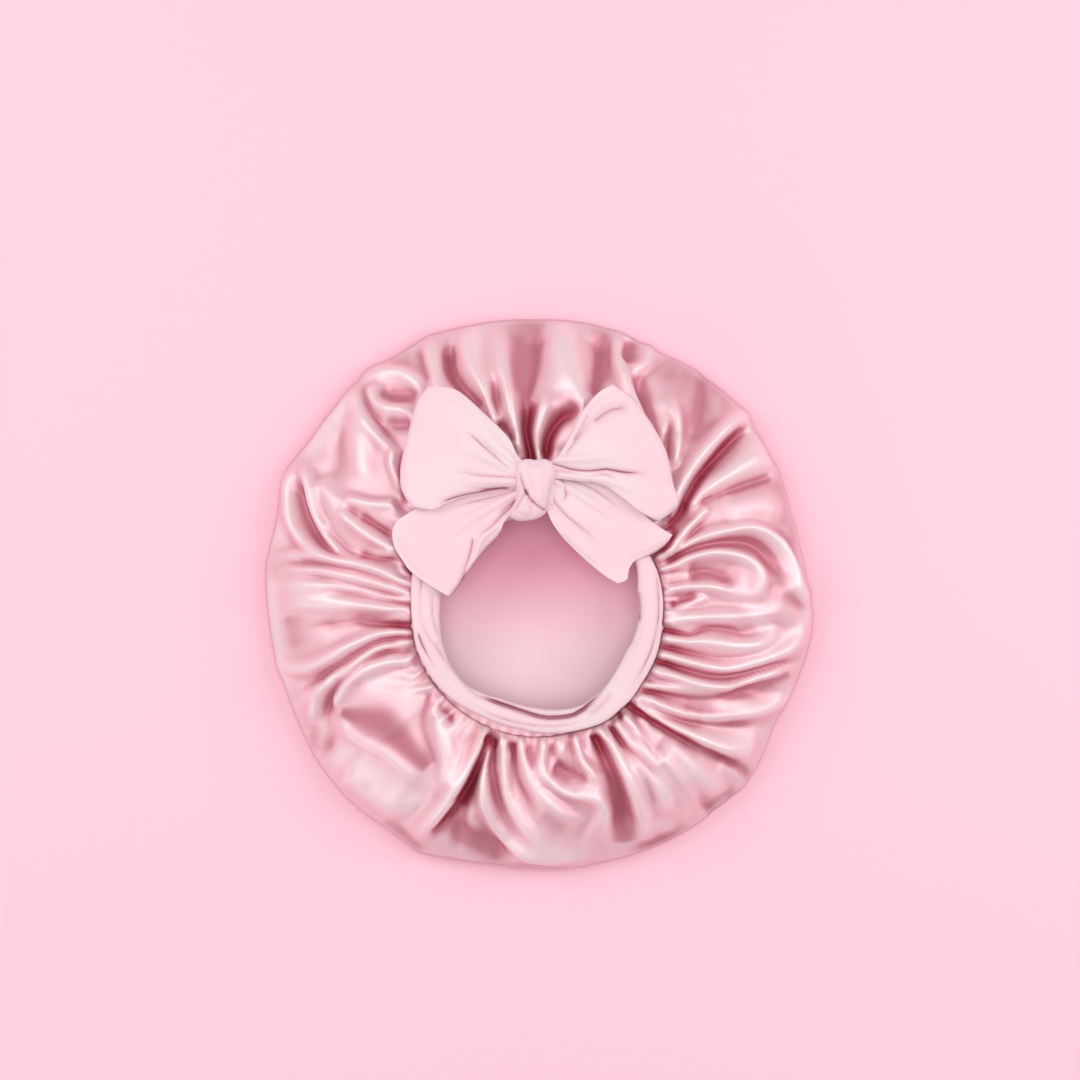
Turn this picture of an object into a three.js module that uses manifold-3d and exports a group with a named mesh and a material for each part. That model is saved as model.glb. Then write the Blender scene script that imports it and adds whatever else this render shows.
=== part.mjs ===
// A satin hair bonnet with an elastic mouth and a soft jersey tie band knotted in a bow. It lies on the
// middle of its crown with the mouth up. Millimetres, +Z up, and the origin is on the floor under the middle
// of the crown. The crown is a circle of satin and a circle of lining about 600 mm across, gathered together
// at the mouth.
import * as THREE from "three";
import { mergeVertices } from "three/addons/utils/BufferGeometryUtils.js";
import Module from "manifold-3d";

const wasm = await Module();
wasm.setup();

// Crown, lying flat
const crownRadius = 185;
const crownHeight = 50; // floor to the top of the puffed front
const clothThickness = 0.9; // of each satin layer, thicker than real satin
const pleatCount = 40; // gathers round the mouth
const pleatDepth = 6;

// Mouth: an elastic in a satin casing, which grips the gathered edges of the crown and its lining
const mouthOffsetX = -1.3;
const mouthOffsetY = -11;
const mouthDrop = 6; // from the top of the crown down to the gathered edge
const openingRadius = 66; // relaxed opening that the head stretches
const elasticWidth = 6;
const elasticThickness = 1.2;
const elasticOverlap = 16; // length sewn double where its ends meet
const edgeCatch = 3.5; // how far the gathered edges reach into the casing
const threadDiameter = 0.6;
const stitchLength = 6;

// Jersey band rolled round the mouth
const bandWidth = 17;
const bandHeight = 7;

// Bow
const knotOffsetX = -1.4; // from the middle of the mouth
const knotWidth = 25.4;
const knotLength = 42.8;
const knotHeight = 20.8;
const neckRadius = 4; // the gathered roots of the loops and tails
const neckSpacing = 1;
const loopNeckWidth = 17;
const tailNeckWidth = 14;
const bowReach = 92; // from the knot's middle to the tips
const plyThickness = 2; // two layers of jersey
const loopGap = 3.5; // air between a loop's front and back
const creaseDepth = 1.4;

// Fits
const seatGap = 0.35; // between pieces that touch

// Shapes, as shares of the sizes above
const rimShares = [
  [0, 0.998],
  [10, 0.963],
  [20, 0.96],
  [32, 0.982],
  [50, 0.995],
  [65, 0.978],
  [76, 0.997],
  [97, 1.0],
  [113, 1.022],
  [124, 1.008],
  [153, 1.02],
  [163, 1.0],
  [175, 1.001],
  [186, 0.984],
  [203, 0.99],
  [228, 1.018],
  [245, 1.035],
  [258, 1.0],
  [272, 1.0],
  [296, 1.022],
  [315, 1.03],
  [330, 0.988],
  [348, 0.998],
];
const innerFoldShares = [
  [0, 0.16],
  [60, 0.2],
  [120, 0.6],
  [190, 0.62],
  [235, 0.4],
  [270, 0.24],
  [310, 0.22],
];
const widestInnerShare = 0.64;
// reach: 0 to 1 from the middle of the back to the rim, 1 to 2 from the rim to the mouth
const backStationShares = [
  { reach: 0.91, height: 0 },
  { reach: 0.98, height: 0.07 },
];
const frontStationShares = [
  { reach: 1, height: 0.22, pleat: 0, shortPleat: 0 },
  { reach: 1.03, height: 0.38, pleat: 0, shortPleat: 0 },
  { reach: 1.11, height: 0.56, pleat: 0.15, shortPleat: 0.15 },
  { reach: 1.26, height: 0.77, pleat: 0.45, shortPleat: 0.4 },
  { reach: 1.47, height: 0.93, pleat: 0.8, shortPleat: 0.55 },
  { reach: 1.72, height: 1, pleat: 1, shortPleat: 0.4 },
  { reach: 1.91, height: 0.93, pleat: 0.75, shortPleat: 0.1 },
];
const bowShares = {
  bow_loop_left: {
    upper: [[-0.25, 0.36], [-0.53, 0.65], [-0.71, 0.73]],
    lower: [[-0.4, -0.03], [-0.65, -0.09], [-0.86, -0.15]],
    bulge: 0.16,
  },
  bow_loop_right: {
    upper: [[0.29, 0.41], [0.45, 0.66], [0.545, 0.75]],
    lower: [[0.33, 0.045], [0.65, -0.07], [0.92, -0.21]],
    bulge: 0.2,
  },
  bow_tail_left: {
    upper: [[-0.45, -0.1], [-0.78, -0.21], [-1, -0.29]],
    lower: [[-0.21, -0.24], [-0.37, -0.5], [-0.6, -0.785]],
    bulge: 0.13,
  },
  bow_tail_right: {
    upper: [[0.34, -0.03], [0.62, -0.13], [0.965, -0.35]],
    lower: [[0.19, -0.25], [0.31, -0.44], [0.55, -0.68]],
    bulge: 0.02,
  },
};

// Worked out from the sizes
const threadRadius = threadDiameter / 2;
const elasticLayers = 2 * elasticThickness + 4 * seatGap + threadDiameter;
const edgeLayers = 2 * clothThickness + 3 * seatGap;
const casingHollow = Math.max(elasticLayers, edgeLayers);
const casingInnerRadius = openingRadius + widestInnerShare * bandWidth + seatGap;
const elasticInnerRadius = casingInnerRadius + clothThickness + seatGap;
const elasticOuterRadius = elasticInnerRadius + elasticWidth;
const edgeRadius = elasticOuterRadius + seatGap;
const casingOuterRadius = edgeRadius + edgeCatch;
const edgeTop = crownHeight - mouthDrop;
const hollowMiddle = edgeTop - clothThickness - seatGap / 2;
const hollowBottom = hollowMiddle - casingHollow / 2;
const hollowTop = hollowMiddle + casingHollow / 2;
const casingBottom = hollowBottom - clothThickness;
const casingTop = hollowTop + clothThickness;
const stitchTop = casingTop + seatGap + threadDiameter;
const bandBottom = casingTop + seatGap;
const bandTop = bandBottom + bandHeight;
const bandMiddleRadius = openingRadius + bandWidth / 2;
const bowAxisHeight = bandTop + seatGap + neckRadius;
const neckOffset = knotWidth / 2 + seatGap + neckRadius;

const ringSteps = 72;
const fullTurn = 2 * Math.PI;

// A value read from a table of [angle in degrees, share], smoothed between rows and closed round the turn.
function shareAt(table, angle) {
  const degrees = THREE.MathUtils.euclideanModulo(THREE.MathUtils.radToDeg(angle), 360);
  const next = table.findIndex(([at]) => at > degrees);
  const [highAt, high] = next < 0 ? [table[0][0] + 360, table[0][1]] : table[next];
  const [lowAt, low] = table[(next < 0 ? table.length : next) - 1];
  return THREE.MathUtils.lerp(low, high, THREE.MathUtils.smoothstep(degrees, lowAt, highAt));
}

function onCircle(radius, angle, height) {
  return new THREE.Vector3(radius * Math.cos(angle), radius * Math.sin(angle), height);
}

// A closed body from rings of points, each joined to the next. A ring may have twice the points of its
// neighbour. The ends are joined to each other, or closed with a fan, or across a flat section whose two
// faces pair up. From ring number turn on, the rings run back under the first ones, and their triangles are
// split the same way.
function ringBody(rings, ends, turn = rings.length) {
  const points = rings.flat();
  const starts = [];
  rings.reduce((start, ring) => {
    starts.push(start);
    return start + ring.length;
  }, 0);
  const triangles = [];
  const corner = (r, i) => starts[r] + (i % rings[r].length);

  function join(a, b) {
    const steps = Math.min(rings[a].length, rings[b].length);
    const stepA = rings[a].length / steps;
    const stepB = rings[b].length / steps;
    for (let i = 0; i < steps; i++) {
      const a0 = corner(a, i * stepA);
      const a1 = corner(a, (i + 1) * stepA);
      const b0 = corner(b, i * stepB);
      const b1 = corner(b, (i + 1) * stepB);
      if (stepA === 2) {
        const middle = corner(a, i * stepA + 1);
        triangles.push([a0, middle, b0], [middle, b1, b0], [middle, a1, b1]);
      } else if (stepB === 2) {
        const middle = corner(b, i * stepB + 1);
        triangles.push([a0, middle, b0], [a0, a1, middle], [a1, b1, middle]);
      } else if (a >= turn) {
        triangles.push([a0, a1, b1], [a0, b1, b0]);
      } else {
        triangles.push([a0, a1, b0], [a1, b1, b0]);
      }
    }
  }

  function close(r, flipped) {
    const size = rings[r].length;
    if (ends === "fan") {
      const middle = rings[r].reduce((sum, p) => sum.add(p), new THREE.Vector3()).divideScalar(size);
      points.push(middle);
      for (let i = 0; i < size; i++) {
        const triangle = [points.length - 1, corner(r, i + 1), corner(r, i)];
        triangles.push(flipped ? triangle.reverse() : triangle);
      }
      return;
    }
    for (let i = 0; i < size / 2 - 1; i++) {
      const [near, nearNext] = [corner(r, i), corner(r, i + 1)];
      const [far, farNext] = [corner(r, size - 1 - i), corner(r, size - 2 - i)];
      const pair = [[near, far, nearNext], [nearNext, far, farNext]];
      pair.forEach((triangle) => triangles.push(flipped ? triangle.reverse() : triangle));
    }
  }

  for (let r = 0; r + 1 < rings.length; r++) join(r, r + 1);
  if (ends === "joined") {
    join(rings.length - 1, 0);
  } else {
    close(0, false);
    close(rings.length - 1, true);
  }
  return new THREE.BufferGeometry()
    .setAttribute("position", new THREE.Float32BufferAttribute(points.flatMap((p) => p.toArray()), 3))
    .setIndex(triangles.flat());
}

function solidOf(geometry) {
  const bare = geometry.clone();
  bare.deleteAttribute("normal");
  bare.deleteAttribute("uv");
  const merged = mergeVertices(bare);
  return new wasm.Manifold(
    new wasm.Mesh({
      numProp: 3,
      vertProperties: new Float32Array(merged.attributes.position.array),
      triVerts: new Uint32Array(merged.index.array),
    }),
  );
}

function geometryOf(solid) {
  const mesh = solid.getMesh();
  return new THREE.BufferGeometry()
    .setAttribute("position", new THREE.BufferAttribute(new Float32Array(mesh.vertProperties), 3))
    .setIndex(new THREE.BufferAttribute(new Uint32Array(mesh.triVerts), 1));
}

function piece(name, geometry, color, roughness) {
  const flat = geometry.index ? geometry.toNonIndexed() : geometry;
  flat.computeVertexNormals();
  const mesh = new THREE.Mesh(flat, new THREE.MeshStandardMaterial({ color, roughness, metalness: 0 }));
  mesh.name = name;
  return mesh;
}

const satin = (name, geometry) => piece(name, geometry, 0xe3a3b3, 0.32);
const lining = (name, geometry) => piece(name, geometry, 0xf3c6d0, 0.4);
const jersey = (name, geometry) => piece(name, geometry, 0xf9d9e1, 0.85);
const elasticCloth = (name, geometry) => piece(name, geometry, 0xf4f0ee, 0.7);
const thread = (name, geometry) => piece(name, geometry, 0xe9b6c2, 0.6);

// One column of the crown from the middle of its back round the rim to the mouth: where its outside lies,
// which way it faces, and how deep its pleats are there.
function crownColumn(angle) {
  const rim = onCircle(crownRadius * shareAt(rimShares, angle), angle, 0);
  const mouth = onCircle(casingOuterRadius, angle, 0).add(new THREE.Vector3(mouthOffsetX, mouthOffsetY, 0));
  const inward = onCircle(-1, angle, 0);
  const stations = [...backStationShares, ...frontStationShares].map(({ reach, height, ...pleats }) => ({
    ...pleats,
    point: (reach < 1 ? rim.clone().multiplyScalar(reach) : rim.clone().lerp(mouth, reach - 1)).setZ(
      crownHeight * height,
    ),
  }));
  const lip = mouth.clone().addScaledVector(inward, -clothThickness).setZ(edgeTop);
  const edge = mouth.clone().addScaledVector(inward, edgeCatch).setZ(edgeTop);
  stations.push({ point: lip, pleat: 0, shortPleat: 0 }, { point: edge, pleat: 0, shortPleat: 0 });

  const around = onCircle(1, angle + fullTurn / 4, 0);
  const floor = new THREE.Vector3();
  stations.forEach((station, i) => {
    const before = i === 0 ? floor : stations[i - 1].point;
    const after = i > stations.length - 3 ? edge : stations[i + 1].point;
    const along = i > stations.length - 3 ? inward : after.clone().sub(before);
    station.facing = i === 0 ? new THREE.Vector3(0, 0, -1) : around.clone().cross(along).normalize();
  });
  return stations;
}

// One layer of the crown: its outside lies inset under the crown's own outside. Odd columns are valleys, and
// every other ridge is a short one that sinks on its way to the rim.
function crownLayer(inset) {
  const columnCount = 2 * pleatCount;
  const columns = Array.from({ length: columnCount }, (_, c) => crownColumn((fullTurn * c) / columnCount));
  const backRings = backStationShares.length;

  function surface(depth) {
    return columns[0].map((_, s) => {
      const ring = columns.map((stations, c) => {
        const { point, facing, pleat = 0, shortPleat = 0 } = stations[s];
        const pleatShare = c % 2 ? pleat : c % 4 ? shortPleat : 0;
        return point.clone().addScaledVector(facing, -depth - pleatShare * pleatDepth);
      });
      return s < backRings ? ring.filter((_, c) => c % 2 === 0) : ring;
    });
  }

  const outside = surface(inset);
  const inside = surface(inset + clothThickness).reverse();
  return ringBody([...outside, ...inside], "fan", outside.length);
}

// A ring turned about the middle of the mouth from a closed section of [radius, height].
function turnedRing(section) {
  const outline = [...section, section[0]].map(([radius, height]) => new THREE.Vector2(radius, height));
  return new THREE.LatheGeometry(outline, ringSteps).rotateX(Math.PI / 2);
}

// A folded strip, open at its outer side, where the gathered edges go in.
function elasticCasing() {
  return turnedRing([
    [casingInnerRadius, casingBottom],
    [casingOuterRadius, casingBottom],
    [casingOuterRadius, hollowBottom],
    [casingInnerRadius + clothThickness, hollowBottom],
    [casingInnerRadius + clothThickness, hollowTop],
    [casingOuterRadius, hollowTop],
    [casingOuterRadius, casingTop],
    [casingInnerRadius, casingTop],
  ]);
}

// One flat strip whose far end climbs over its near end. The lap lies at the back of the head, opposite the
// knot.
const lapAngle = elasticOverlap / elasticInnerRadius;
const lapMiddle = -fullTurn / 4;
function elasticStrip() {
  const low = hollowBottom + seatGap;
  const climb = elasticThickness + seatGap;
  const climbStart = fullTurn - 2 * lapAngle;
  const climbEnd = fullTurn - lapAngle / 2;
  const rings = Array.from({ length: ringSteps + 1 }, (_, i) => {
    const travel = (i / ringSteps) * (fullTurn + lapAngle);
    const angle = lapMiddle - lapAngle / 2 + travel;
    const bottom = low + climb * THREE.MathUtils.smoothstep(travel, climbStart, climbEnd);
    return [
      onCircle(elasticInnerRadius, angle, bottom),
      onCircle(elasticOuterRadius, angle, bottom),
      onCircle(elasticOuterRadius, angle, bottom + elasticThickness),
      onCircle(elasticInnerRadius, angle, bottom + elasticThickness),
    ];
  });
  return ringBody(rings.reverse(), "fan");
}

// A thread along a path of points, with a square section that stands on the ring it follows.
function threadTube(path, ends) {
  const rings = path.map(([radius, angle, height]) => [
    onCircle(radius + threadRadius, angle, height),
    onCircle(radius, angle, height - threadRadius),
    onCircle(radius - threadRadius, angle, height),
    onCircle(radius, angle, height + threadRadius),
  ]);
  return ringBody(rings, ends);
}

// Zigzag stitching across the elastic's lap.
function lapStitch() {
  const height = hollowBottom + 2 * elasticThickness + 3 * seatGap + threadRadius;
  const reach = elasticWidth / 2 - 2 * threadDiameter;
  const turns = 8;
  const path = Array.from({ length: turns + 1 }, (_, i) => [
    (elasticInnerRadius + elasticOuterRadius) / 2 + (i % 2 ? reach : -reach),
    lapMiddle + lapAngle * 0.6 * (i / turns - 0.5),
    height,
  ]);
  return threadTube(path, "fan");
}

// A row of stitches round the mouth: one thread that swings a little from side to side.
function stitchRow(radius) {
  const stitches = 2 * Math.round((fullTurn * radius) / (2 * stitchLength));
  const path = Array.from({ length: stitches }, (_, i) => [
    radius + (i % 2 ? threadRadius : -threadRadius),
    (fullTurn * i) / stitches,
    stitchTop - threadRadius,
  ]);
  return threadTube(path, "joined");
}

// A roll of the jersey band, from one side of the knot round to the other, with a softened section.
const bandStart = Math.asin((knotWidth / 2 + seatGap + Math.abs(knotOffsetX)) / openingRadius);
function bandRoll(innerAt, outerAt, bottom, top) {
  const sides = 10;
  const softness = 0.75;
  const soft = (value) => Math.sign(value) * Math.abs(value) ** softness;
  const rings = Array.from({ length: ringSteps + 1 }, (_, i) => {
    const angle = fullTurn / 4 + bandStart + (i / ringSteps) * (fullTurn - 2 * bandStart);
    const [inner, outer] = [innerAt(angle), outerAt(angle)];
    return Array.from({ length: sides }, (_, k) => {
      const way = (fullTurn * k) / sides;
      return onCircle(
        (inner + outer) / 2 + ((outer - inner) / 2) * soft(Math.cos(way)),
        angle,
        (bottom + top) / 2 + ((top - bottom) / 2) * soft(Math.sin(way)),
      );
    });
  });
  return ringBody(rings.reverse(), "fan");
}
const foldLine = (angle) => openingRadius + bandWidth * shareAt(innerFoldShares, angle);
const outerFoldTop = bandTop;
const innerFoldTop = bandTop - bandHeight / 4;

// The strand wound round the knot: a barrel with a flattened hole through it along X.
const coreLength = loopNeckWidth + tailNeckWidth + neckSpacing;
const coreHalfHeight = neckRadius;
const knotMiddleHeight = stitchTop + seatGap + knotHeight / 2 - bowAxisHeight;
function oval(x, halfLength, halfHeight, height) {
  const sides = 20;
  return Array.from({ length: sides }, (_, k) => {
    const way = (fullTurn * k) / sides;
    return new THREE.Vector3(x, halfLength * Math.cos(way), height + halfHeight * Math.sin(way));
  });
}
function knotWrap() {
  const barrelShares = [[-1, 0.9], [-0.75, 0.97], [-0.3, 1], [0.3, 1], [0.75, 0.97], [1, 0.9]];
  const outside = barrelShares.map(([along, swell]) =>
    oval((along * knotWidth) / 2, (swell * knotLength) / 2, (swell * knotHeight) / 2, knotMiddleHeight),
  );
  const inside = [1, -1].map((end) =>
    oval((end * knotWidth) / 2, coreLength / 2 + seatGap, coreHalfHeight + seatGap, 0),
  );
  return ringBody([...outside, ...inside], "joined");
}
function knotCore() {
  const sections = [-1, 1].map((end) => oval((end * knotWidth) / 2, coreLength / 2, coreHalfHeight, 0));
  return ringBody(sections, "fan");
}

// The plan of a loop or tail, in the bow's own frame: along runs 0 to 1 from its neck to its end, across from
// its upper edge to its lower one.
const necks = {
  loop: { low: neckSpacing / 2, high: neckSpacing / 2 + loopNeckWidth },
  tail: { low: -neckSpacing / 2 - tailNeckWidth, high: -neckSpacing / 2 },
};
function wingPlan(name) {
  const side = name.endsWith("left") ? -1 : 1;
  const neck = necks[name.includes("loop") ? "loop" : "tail"];
  const { upper, lower, bulge } = bowShares[name];
  const edge = (start, shares) =>
    new THREE.CatmullRomCurve3([
      new THREE.Vector3(side * neckOffset, start, 0),
      ...shares.map(([x, y]) => new THREE.Vector3(x * bowReach, y * bowReach, 0)),
    ]);
  const upperEdge = edge(neck.high - seatGap, upper);
  const lowerEdge = edge(neck.low + seatGap, lower);
  const tip = upperEdge.getPoint(1).sub(lowerEdge.getPoint(1)).normalize();
  const outward = new THREE.Vector3(tip.y, -tip.x, 0).multiplyScalar(side);
  const at = (along, across) =>
    upperEdge
      .getPoint(along)
      .lerp(lowerEdge.getPoint(along), across)
      .addScaledVector(outward, bulge * bowReach * Math.sqrt(Math.sin(Math.PI * across)) * along ** 2);
  return { side, neck, at };
}

// The gathered root that turns beside the knot.
function neckBead({ side, neck }) {
  const bead = new THREE.CylinderGeometry(neckRadius, neckRadius, neck.high - neck.low, 16);
  return bead.translate(side * neckOffset, (neck.high + neck.low) / 2, 0);
}

const acrossSteps = 10;
function clothBand(path, plan) {
  const across = Array.from({ length: acrossSteps + 1 }, (_, k) => k / acrossSteps);
  const rings = path.map(({ outer, inner }) => [
    ...across.map((v) => plan.at(outer.along, v).setZ(outer.height(v))),
    ...across.map((v) => plan.at(inner.along, v).setZ(inner.height(v))).reverse(),
  ]);
  const band = ringBody(plan.side < 0 ? rings.map((ring) => ring.reverse()) : rings, "strip");
  return geometryOf(solidOf(band).add(solidOf(neckBead(plan))));
}

// Creases fan out from the neck and fade before the end.
const creaseCount = 3;
function crease(along, across) {
  const fade = Math.sin(Math.PI * Math.min(1, along * 1.25));
  return creaseDepth * fade * Math.sin(Math.PI * creaseCount * across) ** 2;
}

// A loop is one wide strip folded back on itself at its end, open at both edges.
function bowLoop(name) {
  const plan = wingPlan(name);
  const length = plan.at(1, 0.5).distanceTo(plan.at(0, 0.5));
  const spread = (along) => THREE.MathUtils.lerp(plyThickness + seatGap, plyThickness + loopGap, along) / 2;
  const foldAlong = 1 - (plyThickness + loopGap / 2) / length;
  const plySteps = 8;
  const foldSteps = 4;
  const half = plyThickness / 2;
  const path = [];
  for (let i = 0; i < plySteps; i++) {
    const along = (i / plySteps) * foldAlong;
    path.push({
      outer: { along, height: (v) => spread(along) + half + crease(along, v) },
      inner: { along, height: (v) => spread(along) - half + crease(along, v) },
    });
  }
  for (let i = 0; i <= foldSteps; i++) {
    const way = (Math.PI * i) / foldSteps;
    const turnAt = (radius) => {
      const lift = radius * Math.cos(way);
      const fade = Math.cos(way / 2) ** 2;
      return {
        along: foldAlong + (radius * Math.sin(way)) / length,
        height: (v) => lift + fade * crease(foldAlong, v),
      };
    };
    path.push({ outer: turnAt(spread(1) + half), inner: turnAt(spread(1) - half) });
  }
  for (let i = plySteps - 1; i >= 0; i--) {
    const along = (i / plySteps) * foldAlong;
    path.push({
      outer: { along, height: () => -spread(along) - half },
      inner: { along, height: () => -spread(along) + half },
    });
  }
  return clothBand(path, plan);
}

// A tail is one strip that comes down from its neck to lie on the band.
function bowTail(name) {
  const plan = wingPlan(name);
  const steps = 12;
  const rest = neckRadius - plyThickness / 2;
  const path = Array.from({ length: steps + 1 }, (_, i) => {
    const along = i / steps;
    const drop = -rest * THREE.MathUtils.smoothstep(along, 0, 0.3);
    return {
      outer: { along, height: (v) => drop + plyThickness / 2 + crease(along, v) },
      inner: { along, height: (v) => drop - plyThickness / 2 + crease(along, v) },
    };
  });
  return clothBand(path, plan);
}

const bonnet = new THREE.Group();
bonnet.add(
  satin("crown_outer", crownLayer(0)),
  lining("crown_lining", crownLayer(clothThickness + seatGap)),
);

const mouth = new THREE.Group();
mouth.position.set(mouthOffsetX, mouthOffsetY, 0);
mouth.add(
  satin("elastic_casing", elasticCasing()),
  elasticCloth("elastic", elasticStrip()),
  thread("elastic_join_stitch", lapStitch()),
  thread("gather_stitch", stitchRow(casingOuterRadius - threadDiameter - seatGap)),
  thread("band_seam_stitch", stitchRow(openingRadius + bandWidth + 2 * threadDiameter + seatGap)),
  jersey(
    "band_outer_fold",
    bandRoll((a) => foldLine(a) + seatGap / 2, () => openingRadius + bandWidth, bandBottom, outerFoldTop),
  ),
  jersey(
    "band_inner_fold",
    bandRoll(() => openingRadius, (a) => foldLine(a) - seatGap / 2, casingBottom, innerFoldTop),
  ),
);
bonnet.add(mouth);

const bow = new THREE.Group();
bow.position.set(knotOffsetX, bandMiddleRadius + knotLength / 8, bowAxisHeight);
bow.add(
  jersey("knot_wrap", knotWrap()),
  jersey("knot_core", knotCore()),
  jersey("bow_loop_left", bowLoop("bow_loop_left")),
  jersey("bow_loop_right", bowLoop("bow_loop_right")),
  jersey("bow_tail_left", bowTail("bow_tail_left")),
  jersey("bow_tail_right", bowTail("bow_tail_right")),
);
mouth.add(bow);

export default bonnet;
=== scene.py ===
import math
import random

import bmesh
import bpy
import numpy as np
from mathutils import Matrix, Vector


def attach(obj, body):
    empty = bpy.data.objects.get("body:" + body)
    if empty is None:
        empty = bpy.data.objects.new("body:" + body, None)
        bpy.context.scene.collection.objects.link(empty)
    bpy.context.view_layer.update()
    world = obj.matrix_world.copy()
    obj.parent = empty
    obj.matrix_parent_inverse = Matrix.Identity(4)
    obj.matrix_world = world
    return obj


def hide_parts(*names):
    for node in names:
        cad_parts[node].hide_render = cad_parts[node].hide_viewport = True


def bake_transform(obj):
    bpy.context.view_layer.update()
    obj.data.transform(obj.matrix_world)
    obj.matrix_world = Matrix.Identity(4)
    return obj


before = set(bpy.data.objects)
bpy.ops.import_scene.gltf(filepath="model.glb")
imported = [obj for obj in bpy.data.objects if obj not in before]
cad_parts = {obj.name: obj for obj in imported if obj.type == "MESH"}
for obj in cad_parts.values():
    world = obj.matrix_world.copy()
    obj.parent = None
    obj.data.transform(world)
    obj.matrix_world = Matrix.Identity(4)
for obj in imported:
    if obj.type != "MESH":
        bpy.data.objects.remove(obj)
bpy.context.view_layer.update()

millimetre = 0.001
fullTurn = 2 * math.pi

# The camera looks straight down, as in the photograph. Pixels are those of its 1080 by 1080 frame.
view = {
    "framePixels": 1080,
    "metresPerPixel": 0.00066787,
    "crownMiddlePixel": (539, 593),
    "sharpHeight": 0.03,  # level at which a pixel has that size
    "cameraHeight": 2.2,  # above that level
    "sensorWidth": 36.0,
}


def fromPhoto(pixels):
    # pixel positions to x and y in metres
    pixels = np.asarray(pixels, float)
    offset = (pixels - view["crownMiddlePixel"]) * view["metresPerPixel"]
    return offset * (1, -1)


def eased(value, start, end):
    share = np.clip((np.asarray(value, float) - start) / (end - start), 0, 1)
    return share * share * (3 - 2 * share)


def smoothLine(points, spacing):
    # a soft curve through a few points, as many short straight steps
    points = np.asarray(points, float)
    if len(points) < 3:
        return points
    padded = np.vstack([2 * points[0] - points[1], points, 2 * points[-1] - points[-2]])
    line = []
    for before, start, end, after in zip(padded, padded[1:], padded[2:], padded[3:]):
        steps = max(1, int(np.linalg.norm(end - start) / spacing))
        t = (np.arange(steps) / steps)[:, None]
        line.append(
            0.5
            * (
                2 * start
                + (end - before) * t
                + (2 * before - 5 * start + 4 * end - after) * t**2
                + (3 * start - before - 3 * end + after) * t**3
            )
        )
    line.append(points[-1:])
    return np.vstack(line)


# how a fold is drawn where its own entry says nothing else
foldDefaults = {
    "fade": (0.15, 0.3),  # shares of its line over which it rises and dies away
    "ridge": 2.1,
    "valley": 1.2,  # creases are sharper than ridges
    "reach": 2.6,  # in widths
    "spacing": 0.005,
}


def foldHeight(places, folds, strongest=False):
    # ridges and valleys at each place, summed, or the strongest one of each; lines are in pixels of the
    # photograph, sizes in millimetres
    places = np.asarray(places, float)
    total = np.zeros(len(places))
    extremes = np.zeros((2, len(places)))
    for fold in folds:
        line = smoothLine(fromPhoto(fold["line"]), foldDefaults["spacing"])
        startWidth, endWidth = (width * millimetre for width in fold["width"])
        lean = fold.get("lean", 0)
        fadeIn, fadeOut = fold.get("fade", foldDefaults["fade"])
        reach = foldDefaults["reach"] * max(startWidth, endWidth) * (1 + abs(lean))
        near = np.all((places > line.min(0) - reach) & (places < line.max(0) + reach), axis=1)
        if not near.any():
            continue
        spots = places[near]
        steps = np.diff(line, axis=0)
        lengths = np.linalg.norm(steps, axis=1)
        travelled = np.concatenate([[0], np.cumsum(lengths)])
        best = np.full(len(spots), np.inf)
        along = np.zeros(len(spots))
        side = np.zeros(len(spots))
        for corner, step, length, before in zip(line, steps, lengths, travelled):
            offset = spots - corner
            # summed by hand, because a matrix product may end in another last digit in the next run
            ahead = offset[:, 0] * step[0] + offset[:, 1] * step[1]
            share = np.clip(ahead / length**2, 0, 1)
            gap = offset - share[:, None] * step
            distance = np.hypot(gap[:, 0], gap[:, 1])
            closer = distance < best
            best = np.where(closer, distance, best)
            along = np.where(closer, (before + share * length) / travelled[-1], along)
            side = np.where(closer, np.sign(step[0] * offset[:, 1] - step[1] * offset[:, 0]), side)
        width = startWidth + (endWidth - startWidth) * along
        width = width * (1 + lean * side)
        height = np.full(len(spots), fold["height"] * millimetre)
        if fadeIn:
            height *= eased(along, 0, fadeIn)
        if fadeOut:
            height *= eased(1 - along, 0, fadeOut)
        sharpness = fold.get("sharpness", foldDefaults["ridge" if fold["height"] > 0 else "valley"])
        height = height * np.exp(-((best / width) ** sharpness))
        if strongest:
            kind = int(fold["height"] < 0)
            kept = extremes[kind, near]
            extremes[kind, near] = np.where(np.abs(height) > np.abs(kept), height, kept)
        else:
            total[near] += height
    return total + extremes.sum(axis=0)


def softNoise(places, size, seed, height):
    # slow rise and fall: seeded numbers on a repeating grid of points, eased between them
    side = 24
    lattice = np.random.default_rng(seed).uniform(-1, 1, (side, side, side))
    at = np.asarray(places, float) / size
    cell = np.floor(at).astype(int)
    share = eased(at - cell, 0, 1)
    total = np.zeros(len(at))
    for corner in np.ndindex(2, 2, 2):
        weight = np.prod(np.where(corner, share, 1 - share), axis=1)
        total += weight * lattice[tuple(((cell + corner) % side).T)]
    return total * height


def addPiece(name, bm, look):
    mesh = bpy.data.meshes.new(name)
    bm.to_mesh(mesh)
    bm.free()
    mesh.shade_smooth()
    piece = bpy.data.objects.new(name, mesh)
    bpy.context.scene.collection.objects.link(piece)
    mesh.materials.append(look)
    return piece


def places(piece):
    values = np.empty(3 * len(piece.data.vertices))
    piece.data.vertices.foreach_get("co", values)
    return values.reshape(-1, 3)


def setPlaces(piece, values):
    piece.data.vertices.foreach_set("co", np.asarray(values, float).ravel())
    piece.data.update()


def paint(piece, name, values):
    # a number kept on each vertex, for the material to read
    attribute = piece.data.attributes.new(name, "FLOAT", "POINT")
    attribute.data.foreach_set("value", np.asarray(values, np.float32))


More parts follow.
